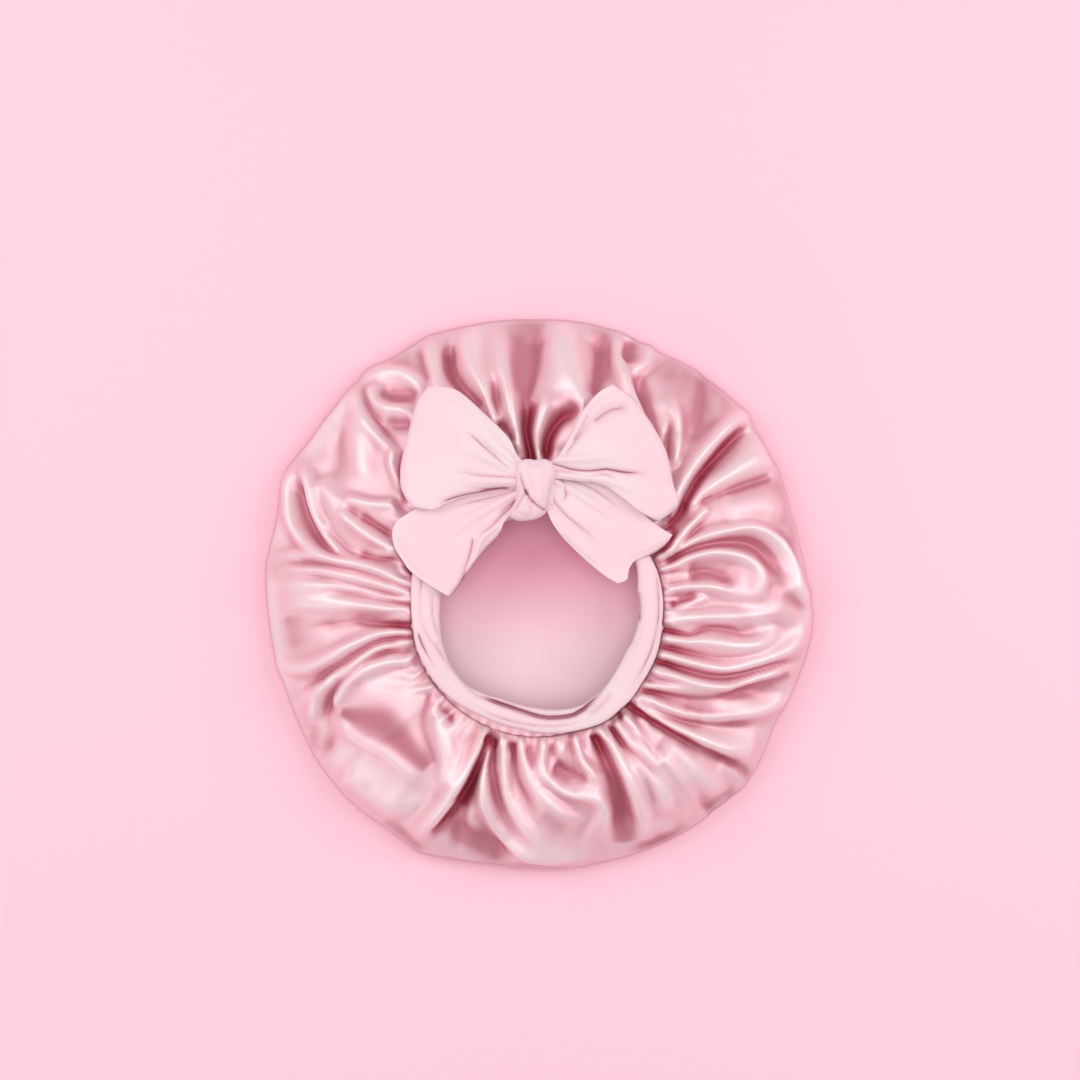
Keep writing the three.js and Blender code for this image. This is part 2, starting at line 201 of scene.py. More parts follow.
def settle(piece):
    # makes the modifiers' result the piece's own mesh
    depsgraph = bpy.context.evaluated_depsgraph_get()
    depsgraph.update()
    mesh = bpy.data.meshes.new_from_object(
        piece.evaluated_get(depsgraph), preserve_all_data_layers=True, depsgraph=depsgraph
    )
    piece.modifiers.clear()
    piece.data = mesh
    return piece


def thicken(piece, thickness, offset):
    wall = piece.modifiers.new("wall", "SOLIDIFY")
    wall.thickness = thickness
    wall.offset = offset
    return settle(piece)


def faceUp(piece):
    # turns all faces round if most of them look down
    mesh = piece.data
    normals = np.empty(3 * len(mesh.polygons))
    mesh.polygons.foreach_get("normal", normals)
    areas = np.empty(len(mesh.polygons))
    mesh.polygons.foreach_get("area", areas)
    if (normals[2::3] * areas).sum() < 0:
        mesh.flip_normals()


class Wire:
    # one socket of a material, or the material itself, with the sums that the looks use

    def __init__(self, tree, socket=None):
        self.tree = tree
        self.socket = socket

    def node(self, kind, settings=None, output=0, **values):
        made = self.tree.nodes.new(kind)
        for name, value in (settings or {}).items():
            setattr(made, name, value)
        for name, value in values.items():
            key = int(name[1:]) if name[1:].isdigit() else name.replace("_", " ")
            socket = made.inputs[key]
            if isinstance(value, Wire):
                self.tree.links.new(value.socket, socket)
            else:
                socket.default_value = value
        return Wire(self.tree, made.outputs[output] if made.outputs else None)

    def sum(self, operation, first, second):
        return self.node("ShaderNodeMath", {"operation": operation}, i0=first, i1=second)

    def __add__(self, other):
        return self.sum("ADD", self, other)

    def __sub__(self, other):
        return self.sum("SUBTRACT", self, other)

    def __mul__(self, other):
        return self.sum("MULTIPLY", self, other)

    def __radd__(self, other):
        return self.sum("ADD", other, self)

    def __rsub__(self, other):
        return self.sum("SUBTRACT", other, self)

    def __rmul__(self, other):
        return self.sum("MULTIPLY", other, self)

    def over(self, factor, start):
        # a mask made steeper or softer, and begun later
        return self * factor - start

    def mix(self, share, first, second):
        settings = {"data_type": "RGBA", "blend_type": "MIX", "clamp_factor": True}
        return self.node("ShaderNodeMix", settings, output=2, i0=share, i6=first, i7=second)

    def place(self):
        return self.node("ShaderNodeTexCoord", output="Object")

    def painted(self, name):
        return self.node("ShaderNodeAttribute", {"attribute_name": name}, output="Fac")

    def noise(self, place, scale, detail=2.0):
        return self.node("ShaderNodeTexNoise", Vector=place, Scale=scale, Detail=detail)

    def wave(self, place, scale, direction="DIAGONAL"):
        return self.node("ShaderNodeTexWave", {"bands_direction": direction}, Vector=place, Scale=scale)

    def bump(self, height, strength, distance):
        return self.node("ShaderNodeBump", Strength=strength, Distance=distance, Height=height)


def colour(red, green, blue):
    # 8-bit screen colour to the linear value that a material takes
    def linear(value):
        share = value / 255
        return share / 12.92 if share <= 0.04045 else ((share + 0.055) / 1.055) ** 2.4

    return (linear(red), linear(green), linear(blue), 1.0)


def newLook(name, plain, draw):
    # plain holds the shader's own fixed values; draw returns what varies over the surface
    material = bpy.data.materials.new(name)
    material.use_nodes = True
    tree = material.node_tree
    tree.nodes.clear()
    start = Wire(tree)
    shader = start.node("ShaderNodeBsdfPrincipled", **{**plain, **draw(start)})
    start.node("ShaderNodeOutputMaterial", Surface=shader)
    return material


# scales count repeats to a metre, bumps are a strength and a distance in metres, and the masks that tint a
# look have a factor and, some of them, a start; the satin's shade, deep and light masks paint shade, a
# crimson crease shadow and highlights into its colour
satinLook = {
    "face": colour(245, 202, 210),
    # shade is painted shade in the satin's hollows, deep a painted crimson shadow in its deepest folds, light
    # a painted highlight on its crests
    "shade": colour(206, 134, 150),
    "deep": colour(160, 16, 56),
    "light": colour(252, 233, 235),
    "roughness": 0.46,
    "shader": {"Metallic": 0.38, "IOR": 1.5, "Coat_Weight": 0.22, "Coat_Roughness": 0.42},
}
liningLook = {
    "face": colour(255, 222, 230),
    # shade is the painted shadow of the bow on the lining
    "shade": colour(255, 174, 196),
    "deep": colour(255, 174, 196),
    "light": colour(255, 222, 230),
    "roughness": 0.45,
    "shader": {"Metallic": 0.1, "IOR": 1.45},
}
satinWeaveAndShading = {
    "cloudScale": 26.0,
    "slubScale": 900.0,
    "weaveScale": 700.0,
    "slub": 0.6,
    "weave": 0.4,
    "bump": (0.06, 0.0004),
    "shade": 1.25,
    "deep": 0.9,
    "light": (-0.8, 0.1),
    "cloud": (0.22, 0.04),
    "uneven": 0.08,  # spread of the roughness
}
jerseyLook = {
    "face": colour(247, 213, 221),
    # shade and deep are painted shade in the jersey's creases and on its undersides
    "shade": colour(214, 158, 174),
    "deep": colour(140, 40, 74),
    "pale": colour(243, 224, 228),
    "roughness": 0.85,
    "shader": {"Sheen_Weight": 0.25, "Sheen_Roughness": 0.4},
    "cloudScale": 30.0,
    "broadScale": 17.0,
    "stitchScale": 625.0,
    "fuzzScale": 1500.0,
    "ribs": 0.5,
    "rows": 0.3,
    "fuzz": 0.6,
    "bump": (0.25, 0.0004),
    "paleAreas": (3.0, 1.3),
    "creaseShade": 0.9,
    "creaseDeep": (1.7, 1.0),
    "cloud": (0.2, 0.03),
}
elasticLook = {
    "groove": colour(236, 228, 226),
    "rib": colour(250, 246, 244),
    "ribScale": 400.0,
    "fuzzScale": 1200.0,
    "fuzz": 0.4,
    "bump": (0.5, 0.0003),
    "roughness": 0.75,
}
threadLook = {
    "groove": colour(214, 150, 168),
    "strand": colour(240, 190, 202),
    "twistScale": 900.0,
    "bump": (0.6, 0.0002),
    "roughness": 0.6,
}


def drawSatin(look):
    def draw(start):
        place = start.place()
        crease = start.painted("crease")
        cloud = start.noise(place, satinWeaveAndShading["cloudScale"], 3.0)
        # painted shade where the crease mask is high, a painted crimson shadow where the depth mask is high,
        # a painted highlight where the crease mask is below zero; the cloud darkens it at random
        tint = start.mix(crease * satinWeaveAndShading["shade"], look["face"], look["shade"])
        tint = start.mix(start.painted("depth") * satinWeaveAndShading["deep"], tint, look["deep"])
        tint = start.mix(crease.over(*satinWeaveAndShading["light"]), tint, look["light"])
        tint = start.mix(cloud.over(*satinWeaveAndShading["cloud"]), tint, look["shade"])
        slub = start.noise(place, satinWeaveAndShading["slubScale"])
        weave = start.wave(place, satinWeaveAndShading["weaveScale"])
        bump = start.bump(slub * satinWeaveAndShading["slub"] + weave * satinWeaveAndShading["weave"], *satinWeaveAndShading["bump"])
        rough = cloud * satinWeaveAndShading["uneven"] + (look["roughness"] - satinWeaveAndShading["uneven"] / 2)
        return {"Base_Color": tint, "Roughness": rough, "Normal": bump}

    return draw


def drawJersey(start):
    place = start.place()
    crease = start.painted("crease")
    broad = start.noise(place, jerseyLook["broadScale"], 1.0)
    cloud = start.noise(place, jerseyLook["cloudScale"], 3.0)
    tint = start.mix(broad.over(*jerseyLook["paleAreas"]), jerseyLook["face"], jerseyLook["pale"])
    # painted shade, and in the deepest creases a darker painted shade, where the crease mask is high
    tint = start.mix(crease * jerseyLook["creaseShade"], tint, jerseyLook["shade"])
    tint = start.mix(crease.over(*jerseyLook["creaseDeep"]), tint, jerseyLook["deep"])
    tint = start.mix(cloud.over(*jerseyLook["cloud"]), tint, jerseyLook["shade"])
    ribs = start.wave(place, jerseyLook["stitchScale"], "X") * jerseyLook["ribs"]
    rows = start.wave(place, jerseyLook["stitchScale"], "Y") * jerseyLook["rows"]
    fuzz = start.noise(place, jerseyLook["fuzzScale"]) * jerseyLook["fuzz"]
    bump = start.bump(ribs + rows + fuzz, *jerseyLook["bump"])
    return {"Base_Color": tint, "Roughness": jerseyLook["roughness"], "Normal": bump}


def drawElastic(start):
    place = start.place()
    ribs = start.wave(place, elasticLook["ribScale"], "Z")
    fuzz = start.noise(place, elasticLook["fuzzScale"]) * elasticLook["fuzz"]
    tint = start.mix(ribs, elasticLook["groove"], elasticLook["rib"])
    bump = start.bump(ribs + fuzz, *elasticLook["bump"])
    return {"Base_Color": tint, "Roughness": elasticLook["roughness"], "Normal": bump}


def drawThread(start):
    twist = start.wave(start.place(), threadLook["twistScale"])
    tint = start.mix(twist, threadLook["groove"], threadLook["strand"])
    bump = start.bump(twist, *threadLook["bump"])
    return {"Base_Color": tint, "Roughness": threadLook["roughness"], "Normal": bump}


satin = newLook("rose satin", satinLook["shader"], drawSatin(satinLook))
liningSatin = newLook("pale lining satin", liningLook["shader"], drawSatin(liningLook))
jersey = newLook("fine-knit jersey", jerseyLook["shader"], drawJersey)
woven = newLook("woven elastic", {}, drawElastic)
thread = newLook("spun thread", {}, drawThread)
print("looks made")


# Crown: one circle of satin, seen as its back, its rim and its gathered front
crown = {
    "mouthMiddle": (-1.3, -11.0),  # from here on, sizes in these tables are millimetres
    "mouthEdge": 83.9,
    "rimHeight": 11.0,
    "bandGap": 0.2,
    "topHeight": 48.4,
    "edgeHeight": 46.7,
    "fullAt": 0.72,  # share of the way in from the rim where the front is highest
    "fullness": 0.95,
    "sinksFrom": 0.93,  # share of the way in from which the front sinks to its gathered edge
    "backLift": 0.085,  # share of the back, next to the rim, that leaves the floor
    "backCurve": 2.2,
    "drift": ((40.0, 1, 2.6), (16.0, 2, 0.25)),  # size, seed and height of its slow swells
    "steps": 560,
    "thickness": 0.5,
    "foldScale": 1.1,
    "foldsAtRim": 0.5,  # share of their height that folds have at the rim
    "foldsBegin": 0.9,
    "foldsFullAt": 0.14,
    "foldsSinkBy": 0.6,
    "foldsSinkFrom": 0.9,
    "liningSlack": 9.0,
    "slackBetween": (0.2, 0.8),
    "liningSteps": 280,
    "liningInset": 2.4,
    # the hollow mask paints shade into hollows and highlights onto crests, stronger towards the mouth
    "hollowDepth": 3.4,
    "hollowBlur": 9,
    "hollowFrom": 0.06,
    "mouthHollow": 0.7,
    "mouthHollowFrom": (0.7, 0.95),
    "flatCircle": 600.0,
}
# how strongly folds and the painted sheen paint shade, a crimson crease shadow and highlights on the satin;
# shares run from the rim (0) to the mouth (1)
paintedShading = {
    "sheen": 0.85,
    "sheenFrom": 0.035,
    "line": 0.65 / 6.0,
    "lineWidth": 0.65,  # in widths of the fold
    "narrowestLine": 1.9,
    "mouthFrom": (0.7, 0.97),
    # the deep entries paint a crimson shadow into the deepest lines, strokes and hollows
    "deepLine": 1 / 7,
    "deepLineFrom": 0.3,
    "deepSheen": 2.4,
    "deepSheenFrom": 1.9,
    "deepHollow": 0.9,
    "deepHollowFrom": 0.4,
    "deepestHollow": 0.6,
    # a painted shadow of the band along the satin's edge at the mouth
    "edge": 0.45,
    "edgeFrom": 0.965,
    # the lining's painted shadow of the bow
    "lining": 0.9,
    "liningFrom": (-0.05, 0.045),  # metres towards the bow
}
mouthMiddle = np.array(crown["mouthMiddle"]) * millimetre
# corners of the rim, read off the photograph
rimCorners = [
    (815, 615), (809, 580), (803, 551), (790, 506), (782, 473), (769, 450), (748, 417), (723, 389),
    (697, 368), (656, 347), (621, 328), (577, 319), (538, 317), (500, 319), (467, 325), (428, 333),
    (391, 356), (360, 376), (331, 406), (308, 437), (287, 464), (279, 493), (271, 526), (263, 564),
    (265, 607), (274, 664), (286, 700), (302, 738), (322, 771), (354, 806), (385, 829), (417, 855),
    (450, 862), (491, 867), (549, 870), (595, 866), (625, 860), (662, 847), (701, 826), (741, 795),
    (753, 778), (776, 730), (795, 691), (808, 657),
]


def reachOf(line, angle, middle=(0, 0)):
    # how far a closed line of the photograph lies from a middle point, in each direction
    corners = fromPhoto(line) - np.asarray(middle) * millimetre
    at = np.unwrap(np.arctan2(corners[:, 1], corners[:, 0]))
    reach = np.hypot(corners[:, 0], corners[:, 1])
    order = np.argsort(at)
    at, reach = at[order], reach[order]
    at = np.concatenate([at - fullTurn, at, at + fullTurn])
    return np.interp(np.mod(angle - at[len(line)], fullTurn) + at[len(line)], at, np.tile(reach, 3))


# Lines of the tie band in pixels of the photograph; under the bow they are guessed
band = {
    "knotHalfWidth": 10.5,
    "knotReach": 70.0,  # from the middle of the mouth to the knot, and to the middle of the band
    "bandReach": 75.0,
    "pinchedFor": 12.0,  # the ends narrow over this length as they go into the knot
    "fullWidth": 9.0,  # a narrower roll is lower too
    "least": 2.5,
    "lowest": 0.62,
    "pinchedTo": 0.5,
    "squareness": (0.85, 0.8),  # across and upwards; 1 is round
    "creaseDepth": 1.0,
    "sides": 40,
    "steps": 460,
    "ripple": ((10.0, 0.25), (28.0, 0.6)),  # size and height
    "outerEdge": [
        (650, 558), (656, 570), (660, 585), (662, 600), (661, 620), (659, 640), (655, 655), (648, 670),
        (640, 683), (630, 698), (620, 707), (610, 716), (600, 722), (580, 728), (560, 731), (540, 731),
        (520, 727), (500, 722), (480, 713), (460, 703), (447, 693), (435, 680), (425, 663), (417, 645),
        (414, 625), (412, 600), (413, 575), (420, 556), (452, 522), (494, 499), (537, 490), (580, 499),
        (622, 522),
    ],
    "foldLine": [
        (636, 566), (637, 590), (639, 610), (637, 625), (632, 640), (625, 652), (617, 667), (609, 680),
        (597, 695), (585, 707), (572, 714), (560, 716), (545, 716), (530, 713), (510, 706), (490, 698),
        (477, 694), (465, 684), (455, 672), (447, 661), (437, 646), (428, 633), (422, 620), (421, 600),
        (423, 580), (430, 560), (460, 530), (497, 510), (537, 503), (577, 510), (612, 530),
    ],
    "openingEdge": [
        (648, 566), (647, 590), (648, 610), (645, 630), (637, 648), (622, 668), (606, 684), (592, 696),
        (585, 702), (575, 706), (560, 708), (540, 707), (520, 703), (500, 697), (480, 691), (467, 684),
        (457, 673), (449, 660), (444, 645), (441, 625), (441, 605), (443, 590), (448, 575), (468, 545),
        (500, 524), (537, 517), (574, 524), (610, 545),
    ],
    "outerRoll": {"heights": (46.6, 53.6), "shift": (-0.3, 0), "seed": 3},
    "innerRoll": {"heights": (40.4, 51.2), "shift": (0, 2.6), "seed": 8},
}


def ridge(height, width, line, **more):
    widths = width if isinstance(width, tuple) else (width, width)
    return {"height": height, "width": widths, "line": line, **more}


def valley(height, width, line, **more):
    return ridge(-height, width, line, **more)


openStart = (0, 0.3)
openEnd = (0.3, 0)


def crest(height, width, line, **more):
    # a ridge that has its full height where it starts, at the mouth
    return ridge(height, width, line, fade=openStart, **more)


def slit(height, width, line, **more):
    return crest(-height, width, line, **more)


crownFolds = {
    "lip of the upper left lobe": ridge(5, 5, [(358, 380), (366, 372), (385, 370), (410, 376), (428, 388)]),
    "hollow of that lobe": valley(4, 6, [(376, 391), (400, 395), (424, 394)]),
    "band under the hollow": ridge(5, 4.5, [(368, 383), (376, 401), (390, 410), (420, 411)]),
    "second hollow": valley(3.5, 6, [(386, 419), (400, 426), (416, 422)]),
    "seam of the left panel": valley(3.5, 2.6, [(361, 382), (367, 402), (378, 422), (392, 438), (405, 452)]),
    "brow of the left panel": ridge(3.5, 5, [(353, 384), (357, 402), (366, 420), (382, 440), (398, 453)]),
    "shade band in the panel": valley(1.8, 7, [(346, 396), (338, 440), (334, 492)]),
    "light band in the panel": ridge(2.0, 7, [(362, 410), (362, 450), (364, 490)]),
    "teardrop by the loop": ridge(4, 3, [(398, 447), (393, 462), (398, 480), (404, 494)]),
    "upper side of the nose": ridge(5, 3.6, [(400, 505), (372, 505), (352, 501), (342, 507)]),
    "lower side of the nose": ridge(5, 3.6, [
        (342, 506), (350, 518), (364, 530), (380, 541), (394, 549), (388, 554), (366, 552),
    ]),
    "crease in the nose": valley(6, 2.8, [(360, 514), (380, 527), (398, 538)]),
    "hollow of the nose": valley(3, 3.5, [(348, 507), (362, 517)]),
    "crease under the nose": valley(5, 2.4, [(360, 552), (378, 558), (400, 557)]),
    "facet beside the nose": ridge(2.5, 9, [(318, 478), (334, 505), (352, 530)]),
    "outer left arc": ridge(6.5, (5, 4), [
        (290, 458), (286, 480), (287, 505), (292, 525), (304, 541), (322, 552), (350, 561), (412, 573),
    ]),
    "gutter of the left arc": valley(6, 4, [
        (295, 474), (300, 505), (310, 525), (322, 542), (345, 556), (380, 566),
    ]),
    "inner left arc": ridge(5.5, 4.2, [
        (296, 461), (307, 477), (311, 497), (316, 515), (326, 533), (340, 548), (362, 559), (398, 566),
    ]),
    "crease inside the arcs": valley(4, 2.8, [(320, 524), (336, 538), (352, 551), (372, 562), (404, 569)]),
    "first left gather": ridge(5, 4, [
        (262, 564), (290, 556), (330, 561), (375, 573), (412, 586),
    ], fade=openEnd),
    "first left slit": valley(5, 2.6, [
        (276, 563), (310, 563), (350, 569), (390, 581), (414, 590),
    ], fade=openEnd),
    "second left gather": ridge(4.5, 4, [
        (268, 572), (310, 570), (350, 576), (390, 587), (413, 595),
    ], fade=openEnd),
    "second left slit": valley(4, 2.6, [(290, 574), (330, 579), (375, 590), (414, 598)], fade=openEnd),
    "third left gather": ridge(4.5, (6, 3.5), [
        (266, 590), (310, 584), (350, 588), (385, 597), (413, 601),
    ], fade=openEnd),
    "third left slit": valley(5, (3, 2.6), [(320, 589), (360, 594), (390, 600), (414, 604)], fade=openEnd),
    "fourth left gather": ridge(4, (8, 3.5), [
        (272, 610), (310, 602), (350, 603), (385, 608), (413, 612),
    ], fade=openEnd),
    "broad left hollow": valley(4.5, (7, 4), [(300, 628), (345, 622), (380, 624), (414, 626)], fade=openEnd),
    "facet at the left rim": valley(1.5, 12, [(284, 612), (292, 640), (296, 654)]),
    "left bolster": ridge(6, (5, 4), [
        (270, 650), (277, 665), (292, 669), (312, 666), (335, 655), (355, 644), (382, 634), (414, 632),
    ], fade=openEnd),
    "crease under the bolster": valley(5.5, 2.8, [
        (285, 699), (300, 692), (320, 678), (345, 662), (362, 650), (382, 639), (414, 636),
    ], fade=openEnd),
    "strap under the crease": ridge(5, (6, 3), [
        (292, 712), (306, 698), (326, 684), (346, 668), (366, 652), (386, 643), (414, 641),
    ], fade=openEnd),
    "second crease": valley(4.5, 2.6, [
        (330, 684), (348, 667), (362, 654), (376, 645), (392, 641), (415, 645),
    ]),
    "strap outside the crescent": ridge(5, (6, 3), [
        (308, 728), (318, 704), (330, 686), (348, 670), (366, 656), (386, 646), (414, 648),
    ]),
    "crescent round the lobe": valley(7, (3, 3.6), [
        (324, 724), (328, 704), (340, 684), (358, 667), (378, 654), (400, 650), (416, 654),
    ]),
    "brow of the great lobe": ridge(7, (4, 6), [
        (334, 712), (340, 696), (350, 681), (364, 669), (382, 661), (404, 659), (424, 668),
    ]),
    "lower rim of the dish": ridge(2.5, (4, 5), [
        (334, 713), (350, 731), (366, 741), (386, 750), (406, 768), (426, 781), (442, 780),
    ]),
    "light slope of the great lobe": ridge(5, 14, [(346, 764), (384, 792), (420, 810)]),
    "crease in the great lobe": valley(3, 2.6, [(433, 687), (426, 708), (423, 726), (430, 746), (440, 772)]),
    "back of the great lobe": ridge(6, (5, 9), [(440, 700), (442, 730), (450, 762), (440, 796)]),
    "pucker at the lobe's root": valley(4, 4, [(438, 704), (448, 712), (456, 724)]),
    "edge of the great lobe": crest(9, (4, 6), [
        (486, 732), (478, 750), (464, 776), (449, 800), (433, 820), (416, 846),
    ], lean=-0.35),
    "crimson fold by the lobe": slit(13, (2.6, 4.4), [
        (487, 736), (482, 754), (474, 778), (462, 801), (447, 822), (429, 844),
    ], lean=0.35),
    "dusk below the lobe": valley(4, 14, [(450, 826), (490, 845), (520, 858)]),
    "dark patch at the lower left rim": valley(1.2, 8, [(322, 744), (338, 746)]),
    "outer bottom arc": crest(7, (3.5, 8), [
        (486, 740), (482, 765), (482, 790), (489, 815), (502, 835), (524, 850), (560, 858), (604, 858),
    ]),
    "second bottom arc": crest(5, (3.5, 8), [
        (504, 740), (505, 780), (512, 802), (526, 824), (550, 842), (580, 850),
    ]),
    "gutter between the bottom arcs": valley(5, (3, 5), [
        (495, 740), (494, 775), (500, 805), (516, 832),
    ], fade=(0, 0.5)),
    "third bottom arc": crest(5, (3, 8), [(520, 740), (527, 768), (540, 790), (560, 808), (584, 826)]),
    "gutter by the third arc": valley(4, (3, 5), [
        (513, 742), (516, 775), (530, 802), (552, 824),
    ], fade=(0, 0.5)),
    "shelf at the bottom": crest(5.5, (3.5, 6), [
        (545, 738), (540, 764), (548, 778), (566, 789), (590, 794), (602, 803), (606, 828), (600, 850),
    ]),
    "dip over the shelf": valley(5, (4, 6), [(552, 764), (572, 772), (590, 782)]),
    "second finger": ridge(4.5, 3, [(562, 735), (561, 764)], fade=(0, 0.6)),
    "hooked finger": ridge(5, 3.2, [(574, 736), (580, 757), (590, 770), (599, 784)], fade=(0, 0.5)),
    "notch by the hooked finger": valley(5, 2.4, [(570, 734), (575, 750), (584, 764)], fade=(0, 0.6)),
    "first lower right crest": crest(7, (3.5, 7), [
        (598, 726), (613, 745), (624, 768), (634, 792), (642, 820), (646, 846),
    ]),
    "broad gutter at the lower right": slit(6.5, (4, 9), [
        (594, 736), (606, 762), (617, 788), (622, 815), (622, 852),
    ]),
    "slit beside that crest": slit(5.5, (2.6, 3.5), [
        (610, 726), (622, 742), (640, 757), (654, 773), (662, 790),
    ]),
    "second lower right crest": crest(5.5, (3, 8), [
        (616, 722), (632, 744), (650, 768), (662, 792), (668, 824),
    ]),
    "third lower right crest": crest(6.5, (3, 7), [
        (624, 716), (645, 742), (664, 764), (682, 788), (702, 822),
    ]),
    "slit between those crests": slit(5, (2.8, 3), [
        (618, 712), (632, 728), (648, 744), (662, 764), (684, 792), (701, 826),
    ]),
    "facet before the corner": ridge(3.5, 9, [(660, 738), (690, 768), (716, 790), (736, 796)]),
    "deep slit to the corner": slit(7, (3, 4), [
        (626, 702), (640, 712), (660, 725), (690, 742), (720, 757), (744, 770), (755, 782),
    ]),
    "fourth lower right crest": crest(6.5, (3, 8), [
        (632, 698), (660, 717), (690, 734), (722, 748), (764, 752),
    ]),
    "slit over the fourth crest": slit(4.5, (2.6, 7), [
        (634, 700), (666, 716), (704, 722), (740, 726), (766, 722),
    ]),
    "fifth lower right crest": crest(5, (3, 6), [
        (636, 693), (665, 705), (700, 714), (742, 713), (774, 706), (792, 690), (797, 668),
    ]),
    "hollow in the right bolster": slit(5.5, (3, 9), [(644, 689), (690, 696), (735, 694), (778, 680)]),
    "sixth lower right crest": ridge(4.5, (3, 6), [
        (640, 684), (676, 688), (715, 690), (750, 684),
    ], fade=(0, 0.5)),
    "brow of the right bolster": crest(6, (3.5, 4), [
        (654, 668), (690, 680), (728, 685), (768, 673), (795, 666), (808, 672),
    ]),
    "line over the right bolster": slit(5, (2.8, 2.8), [
        (656, 661), (690, 670), (720, 677), (748, 673), (780, 663), (806, 664),
    ]),
    "band over that line": crest(5, (3, 6), [
        (660, 653), (690, 661), (724, 667), (760, 660), (800, 640), (813, 612),
    ]),
    "crease over the band": slit(4, (2.6, 3), [(660, 646), (690, 652), (722, 657), (760, 652), (784, 640)]),
    "swell at the right": crest(5, (3, 9), [(662, 638), (700, 640), (740, 646), (762, 640), (776, 622)]),
    "line in the swell": slit(4.5, (2.8, 3), [(660, 629), (688, 634), (710, 627), (732, 629), (748, 640)]),
    "swell above the line": crest(4, (3, 8), [(664, 620), (700, 617), (730, 617), (752, 626)]),
    "corner hollow": valley(4, 8, [(706, 818), (724, 800), (744, 790)]),
    "broad crest at the top": crest(6, (8, 13), [(582, 400), (566, 360), (562, 316)]),
    "dip left of the broad crest": slit(5, (4, 12), [(526, 400), (536, 360), (536, 316)]),
    "dip right of the broad crest": slit(5, 9, [(596, 390), (602, 350), (604, 322)]),
    "first crest over the bow": crest(6, (3.5, 9), [(496, 420), (486, 395), (472, 365), (466, 322)]),
    "gutter by the left loop": slit(6, (3.5, 6), [(478, 404), (464, 390), (450, 368), (448, 330)]),
    "rim fold at the upper left": crest(5, (5, 8), [(440, 392), (432, 366), (428, 332)]),
    "slit at the upper left": valley(3.5, 3.5, [(430, 384), (422, 362), (416, 338)]),
    "second crest over the bow": crest(5.5, (3.5, 8), [
        (518, 446), (514, 425), (508, 395), (502, 365), (498, 322),
    ]),
    "pocket between the crests": valley(6, (3, 4.5), [
        (502, 432), (496, 410), (494, 384), (488, 372),
    ], fade=(0.1, 0.5)),
    "little pocket": valley(6, 3.2, [(500, 424), (508, 434), (516, 444)]),
    "pocket behind the knot": slit(9, (4, 6), [(532, 460), (527, 430), (530, 396)]),
    "crest behind the knot": crest(6, (3, 5), [(540, 464), (537, 440), (543, 412), (548, 390)]),
    "pocket right of the knot": valley(8, (3.5, 7), [(546, 462), (548, 440), (562, 418), (584, 408)]),
    "tall crest at the top right": crest(7, (4, 4.5), [
        (646, 424), (634, 400), (624, 378), (618, 354), (621, 326),
    ]),
    "pocket in the tall crest": valley(5, 4.5, [(632, 336), (628, 350), (626, 362)]),
    "spur at the top right": ridge(4.5, 3.6, [(628, 370), (642, 366), (650, 352), (648, 336)]),
    "hollow below the spur": slit(6, (3, 7), [(656, 434), (646, 410), (640, 388), (642, 374)]),
    "fold beside the right loop": ridge(5.5, (3, 5), [(672, 468), (676, 440), (674, 414), (662, 394)]),
    "slit beside the right loop": valley(5, 2.6, [(668, 462), (667, 444), (670, 420)]),
    "shade on the right shoulder": valley(3, 12, [(690, 448), (700, 410), (706, 370)], fade=(0.2, 0.1)),
    "great crest at the right": ridge(8, (4, 6.5), [
        (666, 530), (676, 495), (690, 468), (710, 444), (730, 426), (750, 411),
    ], fade=(0, 0.08)),
    "great gutter at the right": valley(9, (3.5, 4.5), [
        (664, 530), (682, 508), (698, 482), (716, 460), (734, 440), (748, 422),
    ], fade=(0, 0.1)),
    "bright facet at the right": ridge(6, (4, 10), [
        (686, 510), (706, 488), (735, 470), (768, 452),
    ], fade=(0.1, 0.05)),
    "crease under the facet": valley(4.5, (3, 2.8), [
        (690, 506), (712, 497), (742, 486), (774, 476),
    ], fade=(0.2, 0.1)),
    "plain facet at the right": ridge(3, 12, [(722, 512), (764, 506), (788, 520)]),
    "finger at the right": ridge(5.5, 3.4, [(668, 550), (684, 532), (700, 514), (709, 507)], fade=(0, 0.1)),
    "slit in the finger": slit(4, 2.4, [(672, 551), (690, 535), (706, 518)]),
    "outer right arc": ridge(7.5, (3.5, 5), [
        (662, 556), (697, 540), (730, 531), (754, 531), (776, 545), (790, 568), (798, 590), (812, 606),
    ], fade=(0, 0.1)),
    "gutter of the outer arc": slit(6, (3, 6), [
        (668, 560), (697, 546), (730, 540), (756, 545), (772, 566), (780, 592),
    ]),
    "inner right arc": crest(5.5, (3, 4.5), [
        (664, 568), (690, 557), (715, 552), (742, 558), (757, 572), (757, 592), (742, 602),
    ]),
    "hollow inside the arcs": valley(4.5, 8, [(684, 572), (712, 572), (738, 584)]),
    "low right arc": crest(5, (3, 4), [(664, 592), (686, 586), (712, 586), (736, 594)]),
    "hollow under the low arc": valley(5, (4, 5), [(666, 604), (682, 602), (700, 594)]),
    "hook at the right": crest(4.5, 3.2, [(664, 612), (680, 606), (700, 598), (704, 590)]),
}
sheenSharpness = 2.6


# painted highlights (pale) and painted shade (dusky) where the satin shows pale and dusky in the photograph,
# in shares of the look's colours
def pale(amount, width, line, **more):
    return ridge(amount, width, line, **{"sharpness": sheenSharpness, **more})


def dusky(amount, width, line, **more):
    return valley(amount, width, line, **{"sharpness": sheenSharpness, **more})
